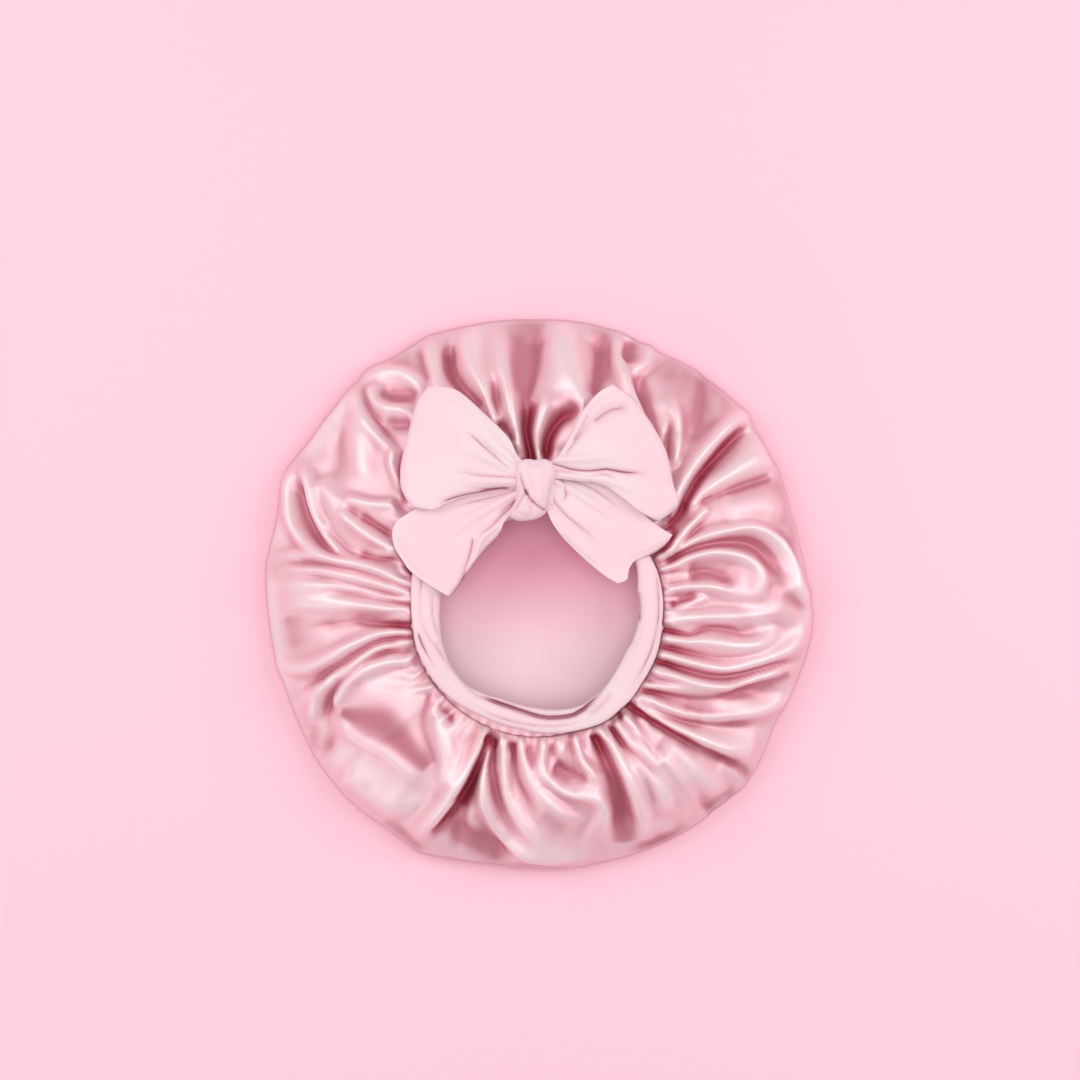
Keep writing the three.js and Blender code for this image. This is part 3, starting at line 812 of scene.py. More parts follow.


# the crimson and shadow strokes are painted shadows in deep folds and beside the bow
crownSheenAndShade = {
    "dish, left part": dusky(0.9, (3, 13), [(341, 711), (360, 716), (382, 720)], fade=(0.05, 0), sharpness=4),
    "dish, right part": dusky(0.9, (13, 6), [
        (382, 720), (406, 742), (430, 766),
    ], fade=(0, 0.05), sharpness=4),
    "slope below the dish": pale(1.0, (10, 16), [(332, 742), (366, 776), (412, 802), (446, 792)]),
    "top of the great lobe": pale(0.8, 9, [(360, 684), (396, 680), (424, 698)]),
    "back of the great lobe": pale(0.6, 7, [(446, 712), (456, 744), (448, 786)]),
    "corner of the great lobe": dusky(0.7, 5, [(380, 818), (400, 834), (416, 850)], fade=(0.3, 0)),
    "patch by the crescent": dusky(0.45, 7, [(304, 740), (324, 744), (340, 748)], fade=(0.2, 0.3)),
    "crimson wedge": dusky(2.0, (2.2, 5.5), [(486, 738), (480, 756), (472, 780), (458, 803)], fade=(0, 0.05)),
    "crimson tail": dusky(1.2, (2.6, 2.2), [(454, 808), (440, 824), (426, 836)]),
    "dusk below the lobe": dusky(0.85, (7, 9), [(446, 820), (474, 842), (516, 862)], fade=(0.05, 0.3)),
    "bottom rim": dusky(0.6, 3, [(470, 866), (540, 870), (600, 865)]),
    "left rim": pale(1.5, 7, [(264, 568), (268, 612), (276, 664), (290, 708)]),
    "left rose facet": dusky(0.25, 9, [(290, 616), (292, 652)]),
    "left pale gather": pale(0.9, 8, [(286, 584), (312, 598), (342, 612), (346, 634)]),
    "left dusky gather": dusky(0.55, 4, [(350, 618), (382, 620), (414, 626)], fade=openEnd),
    "left bolster": pale(0.5, 4, [(276, 667), (312, 666), (352, 648)]),
    "strap": pale(0.5, 6, [(290, 716), (306, 690), (330, 674)]),
    "left panel rim": pale(1.3, 11, [(352, 390), (318, 430), (292, 462)]),
    "left panel, dusky": dusky(0.3, 6, [(336, 410), (342, 450), (346, 486)]),
    "left panel, pale": pale(0.7, 7, [(356, 404), (360, 440), (362, 484)]),
    "left panel, second dusky": dusky(0.3, 5, [(374, 432), (378, 486)]),
    "left facet": pale(0.8, 8, [(276, 520), (270, 548)]),
    "upper hollow": dusky(0.6, 6, [(388, 394), (420, 396)]),
    "lower hollow": dusky(0.5, 6, [(392, 424), (414, 422)]),
    "lip": pale(0.6, 4, [(370, 374), (398, 374), (426, 386)]),
    "rose facet over the lip": dusky(0.3, 9, [(386, 362), (414, 352)]),
    "pocket by the left loop": dusky(1.0, (5, 3.4), [
        (448, 342), (450, 368), (460, 386), (476, 400),
    ], fade=(0.2, 0.1)),
    "pale crest beside it": pale(0.5, 4, [(430, 344), (438, 382)]),
    "broad pale crest": pale(0.9, 11, [(478, 326), (478, 366), (490, 402)], fade=(0, 0.3)),
    "slot between crests": dusky(0.6, 3.4, [(488, 380), (496, 412)]),
    "broad dusky fold": dusky(0.75, (14, 6), [(530, 320), (520, 360), (520, 412)], fade=(0, 0.3)),
    "broad pale fold": pale(1.0, (8, 16), [(562, 322), (562, 356), (572, 392)], fade=(0, 0.1)),
    "pocket behind the knot": dusky(1.1, (5, 4), [(534, 400), (529, 430), (532, 462)], fade=(0.15, 0)),
    "pocket right of the knot": dusky(1.1, (7, 4), [(580, 404), (556, 424), (547, 460)], fade=(0.1, 0)),
    "dusky fold at the top": dusky(0.6, 7, [(602, 324), (604, 356), (600, 388)], fade=(0, 0.2)),
    "tall crest": pale(0.7, 3, [(619, 332), (620, 362), (632, 392), (646, 418)]),
    "pocket in the crest": dusky(0.8, 5, [(634, 338), (628, 360)]),
    "hollow below the spur": dusky(0.85, (6.5, 3), [(636, 374), (645, 396), (654, 430)], fade=(0.1, 0.2)),
    "gleam by the right loop": pale(1.0, 4, [(658, 398), (665, 420), (662, 444)]),
    "slit by the right loop": dusky(1.0, 2.2, [(669, 420), (666, 452)]),
    "right shoulder": dusky(0.5, 15, [(664, 356), (700, 396), (694, 440)], fade=(0.05, 0.2)),
    "right shoulder rim": dusky(0.45, 10, [(706, 378), (738, 404)]),
    "great crest": pale(0.8, (4, 5), [(746, 415), (714, 438), (690, 470), (678, 502)], fade=(0, 0.2)),
    "great gutter": dusky(1.2, (3, 3.4), [
        (744, 424), (720, 448), (698, 480), (682, 508), (668, 528),
    ], fade=(0.1, 0)),
    "bright facet": pale(1.0, (5, 13), [(706, 494), (730, 472), (762, 452)], fade=(0.1, 0)),
    "plain facet": dusky(0.5, 12, [(724, 500), (776, 486), (796, 536)], fade=(0.1, 0)),
    "outer arc": pale(0.8, 4, [(690, 542), (730, 530), (762, 532), (790, 566), (812, 606)], fade=(0.1, 0)),
    "gutter of the arc": dusky(0.8, (3, 7), [(676, 552), (730, 542), (764, 554), (784, 596)], fade=openStart),
    "inner arc": pale(0.5, 3, [(690, 558), (730, 554), (757, 580)]),
    "inside the arcs": dusky(0.3, 7, [(684, 572), (730, 576), (746, 590)]),
    "dusk at the right rim": dusky(0.6, (9, 3), [
        (768, 570), (778, 590), (792, 600), (808, 605),
    ], fade=(0.3, 0)),
    "swell, dusky": dusky(0.35, 8, [(726, 616), (762, 644)]),
    "swell, pale": pale(0.7, 5, [(742, 600), (766, 628), (784, 644)]),
    "swell by the mouth": pale(0.5, 5, [(666, 622), (704, 618)]),
    "band at the right": pale(0.7, 4, [(690, 648), (736, 656), (786, 640), (812, 612)], fade=(0.2, 0)),
    "line under the band": dusky(0.8, 2.3, [(660, 663), (700, 674), (740, 674), (790, 662), (806, 666)]),
    "hollow of the bolster": dusky(0.8, (4, 7), [(792, 672), (752, 688), (704, 698)], fade=(0.05, 0.3)),
    "edge of the bolster": pale(0.7, 3.4, [(806, 676), (790, 700), (752, 708), (700, 694)], fade=(0, 0.2)),
    "rim below the bolster": dusky(0.4, 6, [(796, 700), (772, 752)]),
    "slot under the bolster": dusky(0.75, 4.4, [(676, 704), (724, 716), (758, 724)]),
    "pale gore": pale(1.0, 9, [(690, 728), (756, 746)], fade=(0.3, 0.05)),
    "deep slit": dusky(1.2, (2.2, 2.6), [(626, 702), (660, 724), (706, 748), (752, 776)], fade=(0, 0.15)),
    "corner of the slit": dusky(0.7, 4, [(738, 768), (756, 780)], fade=(0.2, 0)),
    "facet before the corner": pale(0.5, 10, [(672, 764), (706, 778), (738, 788)]),
    "corner hollow": dusky(0.35, 6, [(702, 812), (708, 782)]),
    "crimson rim": dusky(0.95, (4, 6), [(620, 856), (664, 842), (700, 828)], fade=(0.4, 0.35)),
    "shadow left of the bow": dusky(1.3, (2, 2.6), [(406, 448), (402, 476), (406, 500), (400, 516)]),
    "shadow by the left tail": dusky(1.5, (2.4, 3), [(400, 524), (400, 546), (414, 572), (430, 590)]),
    "shadow right of the bow": dusky(1.5, (2.4, 3.4), [
        (676, 500), (668, 516), (672, 532), (664, 550), (650, 562),
    ]),
    "over the crimson rim": pale(0.5, 5, [(636, 830), (680, 820)]),
    "broad gutter": dusky(0.85, (5, 8), [(598, 738), (612, 770), (622, 806), (626, 846)], fade=(0, 0.05)),
    "first crest": pale(0.8, 5, [(618, 742), (636, 780), (650, 822)], fade=(0.1, 0.1)),
    "second slot": dusky(0.5, 3, [(646, 772), (658, 806)]),
    "second crest": pale(0.6, 6, [(656, 764), (672, 812)]),
    "rose facet": dusky(0.4, 8, [(656, 738), (690, 754)]),
    "bottom sweep": pale(0.6, 8, [(498, 842), (548, 854), (600, 846)]),
    "shelf edge": pale(0.6, 4, [(560, 788), (598, 798), (604, 836)]),
    "shelf hollow": dusky(0.8, 8, [(554, 762), (578, 774)]),
    "under the shelf": dusky(0.4, 11, [(544, 806), (572, 826)]),
    "third hollow": dusky(0.65, 5, [(524, 744), (532, 772)]),
    "second hollow": dusky(0.45, 4, [(492, 756), (498, 804)]),
    "first arc": pale(0.8, 4, [(482, 744), (482, 794), (502, 838)], fade=(0, 0.1)),
    "second arc": pale(0.5, 3.4, [(508, 750), (516, 806)]),
}

gathers = {
    "count": 92,
    "height": 2.4,
    "width": (1.2, 2.2),
    "length": (7, 34),
    "overlap": 3.0,  # how far they start inside the edge of the satin
    "bend": 0.25,
    "uneven": 0.35,
    "strength": (0.6, 1.2),  # least and greatest share of the height
    "widening": 0.6,
    "fade": (0, 0.75),
    "seed": 5,
}


def mouthGathers():
    # short pleats of many lengths where the satin is drawn in round the mouth
    draw = random.Random(gathers["seed"])
    uneven = gathers["uneven"]
    folds = []
    for number in range(gathers["count"]):
        angle = fullTurn * (number + draw.uniform(-uneven, uneven)) / gathers["count"]
        turn = draw.uniform(-uneven, uneven)
        shortest, longest = gathers["length"]
        length = shortest + (longest - shortest) * draw.random() ** 2 + 2 * gathers["overlap"]
        start = (crown["mouthEdge"] - gathers["overlap"]) * millimetre
        line = []
        for share in (0, 0.5, 1):
            reach = start + share * length * millimetre
            bent = angle + turn * share**2 * gathers["bend"]
            line.append(mouthMiddle + reach * np.array([math.cos(bent), math.sin(bent)]))
        pixels = np.array(line) * (1, -1) / view["metresPerPixel"] + view["crownMiddlePixel"]
        height = gathers["height"] * draw.uniform(*gathers["strength"]) * (1 if number % 2 else -1)
        narrow, wide = gathers["width"]
        widths = (narrow, draw.uniform(narrow, wide) + gathers["widening"])
        folds.append(ridge(height, widths, pixels, fade=gathers["fade"]))
    return folds


def spunSheet(stations, steps):
    # a chain of vertices spun full round: an even disc whose radius is the station, facing down
    bm = bmesh.new()
    chain = [bm.verts.new((station, 0, 0)) for station in stations]
    edges = [bm.edges.new(pair) for pair in zip(chain, chain[1:])]
    bmesh.ops.spin(
        bm, geom=chain + edges, cent=(0, 0, 0), axis=(0, 0, 1), angle=fullTurn, steps=steps, use_merge=True
    )
    bmesh.ops.remove_doubles(bm, verts=bm.verts[:], dist=1e-5)
    if bm.faces[:][0].normal.z > 0:
        bmesh.ops.reverse_faces(bm, faces=bm.faces[:])
    return bm


def blurred(grid, rounds):
    for _ in range(rounds):
        grid = (2 * grid + np.roll(grid, 1, 0) + np.roll(grid, -1, 0)) / 4
        inner = (2 * grid[:, 1:-1] + grid[:, :-2] + grid[:, 2:]) / 4
        grid = np.concatenate([grid[:, :1], inner, grid[:, -1:]], axis=1)
    return grid


# The front is let settle as cloth: it starts wider than its place, and its held edges are drawn in
settling = {
    "every": 2,  # one vertex in two takes part
    "spare": 14.0,  # how much farther out it starts
    "frames": 18,
    "drawnIn": 9,
    "cloth": {
        "quality": 5,
        "mass": 0.05,
        "air_damping": 4,
        "tension_stiffness": 20.0,
        "compression_stiffness": 20.0,
        "shear_stiffness": 4,
        "bending_stiffness": 5.0,
    },
    "heldAtRim": 0.12,  # share of the way in over which the rim's hold fades
    "heldAtMouth": (0.9, 0.99),
    "farthest": 8.0,  # no place moves more than this
    "sideways": 0.5,  # share of the movement along the floor that is kept, so that folds stay in place
    "levelled": 0.8,  # share of the broad movement that is taken back, so that the crown keeps its height
    "levelRounds": 160,
    "rimShare": 0.5,  # share of the settling that is kept beside the rim, and where all of it is
    "rimUntil": (0.04, 0.35),
    "smoothCore": 0.5,  # share of a smooth place's radius over which it is smooth in full
}
# where the photograph shows smooth cloth: pixel, radius and the share of the settling left out
smoothPlaces = [
    ((388, 735), 55, 0.75),
    ((352, 450), 45, 0.7),
    ((752, 508), 38, 0.7),
    ((562, 350), 32, 0.6),
    ((296, 636), 34, 0.75),
    ((690, 790), 30, 0.5),
    ((300, 480), 26, 0.6),
    ((750, 560), 38, 0.6),
]


def clothSettled(point, stations):
    # the movement of the coarse cloth is added to the fine sheet
    every = settling["every"]
    steps = len(point) // every
    front = np.flatnonzero(stations >= 1)
    chosen = np.unique(np.append(front[::every], front[-1]))
    coarse = point[::every][:, chosen]
    piece = addPiece("settling cloth", spunSheet(1 + np.arange(len(chosen)), steps), satin)
    index, ring = sheetOrder(piece, 1 + np.arange(len(chosen)), steps)
    start = coarse[index, ring]
    outward = start[:, :2] - mouthMiddle
    outward /= np.linalg.norm(outward, axis=1)[:, None]
    wide = start.copy()
    wide[:, :2] += outward * settling["spare"] * millimetre
    setPlaces(piece, wide)

    share = (stations[chosen] - 1)[ring]
    hold = 1 - eased(share, 0, settling["heldAtRim"]) + eased(share, *settling["heldAtMouth"])
    held = piece.vertex_groups.new(name="held")
    for number, weight in enumerate(hold):
        held.add([number], float(weight), "REPLACE")
    piece.shape_key_add(name="wide", from_mix=False)
    drawn = piece.shape_key_add(name="drawn in", from_mix=False)
    drawn.data.foreach_set("co", start.ravel())
    for frameNumber, value in ((1, 0.0), (settling["drawnIn"], 1.0)):
        drawn.value = value
        drawn.keyframe_insert("value", frame=frameNumber)

    modifier = piece.modifiers.new("cloth", "CLOTH")
    for key, value in settling["cloth"].items():
        setattr(modifier.settings, key, value)
    modifier.settings.vertex_group_mass = "held"
    modifier.settings.effector_weights.gravity = 0
    modifier.collision_settings.use_collision = False
    modifier.point_cache.frame_start = 1
    modifier.point_cache.frame_end = settling["frames"]
    for frameNumber in range(1, settling["frames"] + 1):
        bpy.context.scene.frame_set(frameNumber)
    settle(piece)
    moved = places(piece) - start
    bpy.context.scene.frame_set(1)
    bpy.data.objects.remove(piece)

    length = np.linalg.norm(moved, axis=1)
    moved *= np.minimum(1, settling["farthest"] * millimetre / np.maximum(length, 1e-9))[:, None]
    grid = np.zeros(coarse.shape)
    grid[index, ring] = moved
    place = np.arange(len(point)) / every
    before = np.floor(place).astype(int)
    share = (place - before)[:, None, None]
    around = grid[before] * (1 - share) + grid[(before + 1) % steps] * share
    fine = np.zeros(point.shape)
    for axis in range(3):
        for step, row in enumerate(around[..., axis]):
            fine[step, :, axis] = np.interp(stations, stations[chosen], row)
        fine[..., axis] = blurred(fine[..., axis], 1)
        fine[..., axis] -= settling["levelled"] * blurred(fine[..., axis], settling["levelRounds"])
    fine[:, stations <= 1] = 0
    fine[..., :2] *= settling["sideways"]
    inward = np.broadcast_to(stations - 1, point.shape[:2])
    kept = settling["rimShare"]
    calm = kept + (1 - kept) * eased(inward, *settling["rimUntil"])
    for pixel, radius, share in smoothPlaces:
        distance = np.hypot(*(np.moveaxis(point[..., :2], -1, 0) - fromPhoto(pixel)[:, None, None]))
        near = 1 - eased(distance, settling["smoothCore"] * radius * millimetre, radius * millimetre)
        calm = np.minimum(calm, 1 - near * share)
    return point + fine * calm[..., None]


def sheetOrder(piece, stations, steps):
    # for each vertex of a spun sheet, its number round the circle and along the stations
    flatPlaces = places(piece)
    index = np.rint(np.arctan2(flatPlaces[:, 1], flatPlaces[:, 0]) / fullTurn * steps).astype(int) % steps
    reach = np.hypot(flatPlaces[:, 0], flatPlaces[:, 1])
    ring = np.abs(reach[:, None] - stations[None, :]).argmin(axis=1)
    return index, ring


def crownForm(stations, steps):
    # the plain swell of the crown and the way it faces
    angle = (np.arange(steps) * fullTurn / steps)[:, None]
    station = stations[None, :]
    way = np.stack([np.cos(angle), np.sin(angle)], axis=-1)
    rim = reachOf(rimCorners, angle)[..., None] * way
    # the gathers end at the casing, or just outside the band where that is wider
    mouthReach = reachOf(band["outerEdge"], angle, crown["mouthMiddle"]) + crown["bandGap"] * millimetre
    mouthReach = np.maximum(mouthReach, crown["mouthEdge"] * millimetre)
    mouth = mouthMiddle + mouthReach[..., None] * way
    back = np.clip(station, 0, 1)[..., None]
    front = np.clip(station - 1, 0, 1)
    plan = rim * back + (mouth - rim) * front[..., None]

    rise = np.sin(math.pi / 2 * np.clip(front / crown["fullAt"], 0, 1)) ** crown["fullness"]
    height = crown["rimHeight"] + (crown["topHeight"] - crown["rimHeight"]) * rise
    height = height - (crown["topHeight"] - crown["edgeHeight"]) * eased(front, crown["sinksFrom"], 1)
    lift = np.clip((station - 1 + crown["backLift"]) / crown["backLift"], 0, 1) ** crown["backCurve"]
    height = np.where(station > 1, height, crown["rimHeight"] * lift) * millimetre
    base = np.concatenate([plan, np.broadcast_to(height, plan.shape[:2])[..., None]], axis=-1)

    aroundStep = np.roll(base, -1, 0) - np.roll(base, 1, 0)
    facing = np.cross(aroundStep, np.gradient(base, axis=1))
    facing[:, 0] = (0, 0, -1)
    facing /= np.maximum(np.linalg.norm(facing, axis=-1, keepdims=True), 1e-12)
    return base, facing


def crownPaintedShading(flat, point, front, hollow):
    # painted shade, a painted crimson shadow and painted highlights on each place of the outer satin, from
    # its folds and its painted sheen
    lines = []
    for fold in crownFolds.values():
        widths = tuple(max(paintedShading["narrowestLine"], paintedShading["lineWidth"] * width) for width in fold["width"])
        lines.append({**fold, "width": widths})
    line = (foldHeight(flat, lines) / millimetre).reshape(hollow.shape)
    seen = point[..., :2].reshape(-1, 2)
    sheen = (foldHeight(seen, crownSheenAndShade.values(), strongest=True) / millimetre).reshape(hollow.shape)
    sheen *= eased(front, 0, paintedShading["sheenFrom"])
    hollow = hollow - (paintedShading["line"] * line + paintedShading["sheen"] * sheen)
    atMouth = eased(front, *paintedShading["mouthFrom"])
    # depth is a painted crimson shadow in the deepest lines, strokes and hollows near the mouth
    depth = np.clip(-paintedShading["deepLine"] * line * (1 + atMouth) - paintedShading["deepLineFrom"], 0, 1)
    depth += np.clip(-paintedShading["deepSheen"] * sheen - paintedShading["deepSheenFrom"], 0, 1)
    gathered = paintedShading["deepHollow"] * hollow - paintedShading["deepHollowFrom"]
    depth += atMouth * np.clip(gathered, 0, paintedShading["deepestHollow"])
    # and a painted shadow of the band along the edge at the mouth
    depth += paintedShading["edge"] * eased(front, paintedShading["edgeFrom"], 1)
    return hollow, blurred(depth, 1)


def crownSheet(name, look, stations, steps, inset, folds):
    # stations run 0 to 1 over the back and 1 to 2 from the rim to the mouth
    base, facing = crownForm(stations, steps)
    front = np.clip(stations - 1, 0, 1)[None, :]
    flat = base[..., :2].reshape(-1, 2)
    raised = foldHeight(flat, folds).reshape(base.shape[:2])
    atRim = crown["foldsAtRim"]
    onFront = atRim + (1 - atRim) * eased(front, 0.0, crown["foldsFullAt"])
    near = np.where(stations > 1, onFront, atRim * eased(stations, crown["foldsBegin"], 1))
    tucked = 1 - crown["foldsSinkBy"] * eased(front, crown["foldsSinkFrom"], 1)
    raised = blurred(raised * near * tucked, 1)

    solid = np.concatenate([flat, np.zeros((len(flat), 1))], axis=1)
    drift = np.zeros(len(solid))
    for size, seed, tallest in crown["drift"]:
        drift += softNoise(solid, size * millimetre, seed, tallest * millimetre)
    raised = raised + drift.reshape(raised.shape) * near
    slackFull, slackEnds = crown["slackBetween"]
    slack = (inset > 0) * crown["liningSlack"] * eased(front, 0, slackFull) * (1 - eased(front, slackEnds, 1))
    slack = inset + slack
    point = base + facing * (raised * crown["foldScale"] - slack * millimetre)[..., None]
    if inset == 0:
        point = clothSettled(point, stations)
    point[..., 2] = np.maximum(point[..., 2], inset * millimetre * 0.98)  # no lower than the cloth below
    raised = ((point - base) * facing).sum(axis=-1)
    # painted shade where a place lies below its blurred surroundings, painted highlight where it lies above
    hollow = (blurred(raised, crown["hollowBlur"]) - raised) / (crown["hollowDepth"] * millimetre)
    hollow *= eased(front, 0.0, crown["hollowFrom"])
    hollow *= 1 + crown["mouthHollow"] * eased(front, *crown["mouthHollowFrom"])
    depth = np.zeros(hollow.shape)
    if inset:
        # painted shadow of the bow: the lining is painted darker towards the bow
        hollow = paintedShading["lining"] * eased(point[..., 1], *paintedShading["liningFrom"]) * (stations < 1)
    else:
        hollow, depth = crownPaintedShading(flat, point, front, hollow)

    piece = addPiece(name, spunSheet(stations, steps), look)
    index, ring = sheetOrder(piece, stations, steps)
    setPlaces(piece, point[index, ring])
    paint(piece, "crease", np.clip(hollow[index, ring], -1, 1))
    paint(piece, "depth", np.clip(depth[index, ring], 0, 1))
    return thicken(piece, crown["thickness"] * millimetre, -1)


backStations = np.array([0, 0.15, 0.4, 0.65, 0.82, 0.9])
frontStations = 1 + np.linspace(0, 1, 67)[1:] ** 0.94
outerStations = np.concatenate([backStations, np.linspace(0.93, 1, 6), frontStations])
allFolds = list(crownFolds.values())
crownOuter = crownSheet("crown_satin", satin, outerStations, crown["steps"], 0.0, allFolds + mouthGathers())
print("crown made:", len(crownOuter.data.polygons), "faces")

liningFront = 1 + np.linspace(0, 1, 26)[1:]
liningStations = np.concatenate([np.linspace(0, 0.9, 22), np.linspace(0.93, 1, 5), liningFront])
crownLining = crownSheet(
    "crown_lining_satin", liningSatin, liningStations, crown["liningSteps"], crown["liningInset"], allFolds
)
print("lining made:", len(crownLining.data.polygons), "faces")


# Mouth: casing, elastic and the jersey band rolled round them
casing = {
    "inner": 77.4,
    "outer": 84.4,
    "bottom": 39.9,
    "top": 45.9,
    "lipHeight": 1.1,
    "sag": 0.3,
    "flatter": 0.2,
    "foldFrom": 0.35,  # angle at which the rounded inner side begins
    "foldBulge": 0.9,
    "foldInset": 0.6,
    "foldPly": 1.0,
    "straight": (0.85, 7),  # share of the way in that is straight, and its number of steps
    "puckers": (64, 43),
    "pucker": 0.14,
    "sway": 0.2,
    "steps": 560,
}
# dents and swells of the band; their valleys are also painted as shade
bandFolds = {
    "line along the right": valley(0.9, (0.9, 1.0), [
        (654, 566), (657, 590), (657, 618), (651, 646), (640, 670), (626, 692),
    ]),
    "swell on the right": ridge(0.7, (2.0, 3.0), [
        (644, 580), (647, 610), (642, 636), (630, 660), (618, 680),
    ]),
    "line along the bottom": valley(0.8, (0.8, 0.9), [
        (476, 706), (500, 716), (530, 723), (560, 724), (590, 717),
    ]),
    "roll at the lower left": ridge(0.9, (2.2, 2.6), [
        (424, 644), (436, 662), (452, 682), (476, 700), (506, 712),
    ]),
    "line in the left strand": valley(0.8, (0.8, 0.8), [(434, 588), (433, 606), (436, 626), (443, 642)]),
    "line at the crossing": valley(1.4, (0.9, 1.0), [(418, 628), (424, 645), (434, 662), (446, 676)]),
    "slit at the bottom": valley(2.6, (1.0, 1.2), [
        (477, 694), (500, 702), (530, 712), (548, 716), (574, 713), (592, 700), (607, 683),
    ]),
    "slit on the right": valley(2.4, (1.0, 1.0), [(636, 588), (638, 604), (638, 618), (636, 626)]),
    "dent at the lower right": valley(0.7, (1.2, 2.0), [(612, 690), (600, 704), (584, 716)]),
}


def spunRing(section, steps, angle=fullTurn, start=0.0, close=False):
    # a closed section of (radius, height) spun about the upright axis
    bm = bmesh.new()
    verts = [bm.verts.new((radius, 0, height)) for radius, height in section]
    edges = [bm.edges.new((a, b)) for a, b in zip(verts, verts[1:] + verts[:1])]
    faces = [bm.faces.new(verts)] if close else []
    bmesh.ops.rotate(bm, verts=verts, cent=(0, 0, 0), matrix=Matrix.Rotation(start, 3, "Z"))
    full = abs(angle - fullTurn) < 1e-6
    bmesh.ops.spin(
        bm,
        geom=verts + edges + faces,
        cent=(0, 0, 0),
        axis=(0, 0, 1),
        angle=angle,
        steps=steps,
        use_merge=full,
    )
    bmesh.ops.recalc_face_normals(bm, faces=bm.faces[:])
    return bm


def casingShape():
    # the section of a strip folded round the elastic, with its two edges outwards
    outer, inner, bottom, top = (casing[key] * millimetre for key in ("outer", "inner", "bottom", "top"))
    lip, sag, flatter = (casing[key] * millimetre for key in ("lipHeight", "sag", "flatter"))
    bulge, inset, ply = (casing[key] * millimetre for key in ("foldBulge", "foldInset", "foldPly"))
    far, count = casing["straight"]
    middle, half = (bottom + top) / 2, (top - bottom) / 2
    shares = np.linspace(0, far, count)
    ways = np.linspace(casing["foldFrom"], math.pi - casing["foldFrom"], count)

    def inward(share):
        return outer + (inner - outer) * share

    outside = [(inward(share), bottom + sag * math.sin(math.pi * share)) for share in shares]
    outside += [(inner + inset - bulge * math.sin(way), middle - half * math.cos(way)) for way in ways]
    outside += [(inward(share), top - flatter) for share in shares[::-1]]
    shares = np.linspace(0.1, 0.8, 5)
    inside = [(outer, top - lip * 0.6), *((inward(share), top - lip * 0.75) for share in shares)]
    inside += [(inner + ply, middle), *((inward(share), bottom + lip * 0.75) for share in shares[::-1])]
    return outside + inside + [(outer, bottom + lip * 0.6)]


def makeCasing():
    piece = addPiece("casing_satin", spunRing(casingShape(), casing["steps"]), satin)
    spots = places(piece)
    angle = np.arctan2(spots[:, 1], spots[:, 0])
    reach = np.hypot(spots[:, 0], spots[:, 1])
    share = eased(reach, casing["inner"] * millimetre, casing["outer"] * millimetre)
    first, second = casing["puckers"]
    wobble = np.sin(angle * first + 1.4 * np.sin(angle * 7) + 0.8 * np.sin(angle * 13 + 1))
    finer = np.sin(angle * second + 2 * np.sin(angle * 5))
    swell = 0.65 * wobble + 0.35 * finer
    outward = (0.5 * wobble - 0.6 * finer) * casing["sway"] * millimetre * share
    way = np.stack([np.cos(angle), np.sin(angle)], axis=1)
    spots[:, :2] += way * outward[:, None] + mouthMiddle
    spots[:, 2] += swell * casing["pucker"] * millimetre * share
    setPlaces(piece, spots)
    # painted shade in the troughs of the puckers
    paint(piece, "crease", np.clip(0.35 - 0.5 * swell, 0, 1) * share * 0.8)
    return piece


casingPiece = makeCasing()


def bandStrand(name, innerLine, outerLine, roll):
    # a soft roll from one side of the knot round the mouth to the other
    sides = band["sides"]
    start = math.asin(band["knotHalfWidth"] / band["knotReach"])
    ways = [fullTurn * number / sides for number in range(sides)]
    section = [(1 + 0.1 * math.cos(way), 0.1 * math.sin(way)) for way in ways]
    bm = spunRing(section, band["steps"], angle=fullTurn - 2 * start, start=math.pi / 2 + start, close=True)
    piece = addPiece(name, bm, jersey)
    spots = places(piece)
    angle = np.arctan2(spots[:, 1], spots[:, 0])
    way = np.arctan2(spots[:, 2], np.hypot(spots[:, 0], spots[:, 1]) - 1)
    innerShift, outerShift = roll["shift"]
    inner = reachOf(band[innerLine], angle, crown["mouthMiddle"]) + innerShift * millimetre
    outer = reachOf(band[outerLine], angle, crown["mouthMiddle"]) + outerShift * millimetre
    outer = np.maximum(outer, inner + band["least"] * millimetre)
    turned = np.abs(np.mod(angle - math.pi / 2 + math.pi, fullTurn) - math.pi) - start
    fromEnd = turned * band["bandReach"] / band["pinchedFor"]
    pinch = band["pinchedTo"] + (1 - band["pinchedTo"]) * np.sqrt(np.clip(fromEnd, 0, 1))
    middle = (inner + outer) / 2
    half = (outer - inner) / 2 * pinch
    bottom, top = (height * millimetre for height in roll["heights"])

    def soft(value, power):
        return np.sign(value) * np.abs(value) ** power

    squareAcross, squareUp = band["squareness"]
    up = soft(np.sin(way), squareUp)
    reach = middle + half * soft(np.cos(way), squareAcross)
    tall = np.clip(2 * half / (band["fullWidth"] * millimetre), band["lowest"], 1)
    height = bottom + (top - bottom) * tall * (0.5 + 0.5 * pinch * up)
    plan = np.stack([np.cos(angle) * reach, np.sin(angle) * reach], axis=1) + mouthMiddle
    folds = foldHeight(plan, bandFolds.values()) * np.clip(up * 1.5, 0, 1)
    solid = np.concatenate([plan, height[:, None]], axis=1)
    ripple = np.zeros(len(solid))
    for number, (size, tallest) in enumerate(band["ripple"]):
        ripple += softNoise(solid, size * millimetre, roll["seed"] + number, tallest * millimetre)
    solid[:, 2] += folds + ripple * (up > 0)
    setPlaces(piece, solid)
    # painted shade in the band's folds and slits and on the underside of each roll
    crease = -folds / (band["creaseDepth"] * millimetre) + 0.8 * np.clip(-up, 0, 1)
    paint(piece, "crease", np.clip(crease, 0, 1))
    return piece


bandOuter = bandStrand("band_outer_roll", "foldLine", "outerEdge", band["outerRoll"])
bandInner = bandStrand("band_inner_roll", "openingEdge", "foldLine", band["innerRoll"])
print("mouth made")


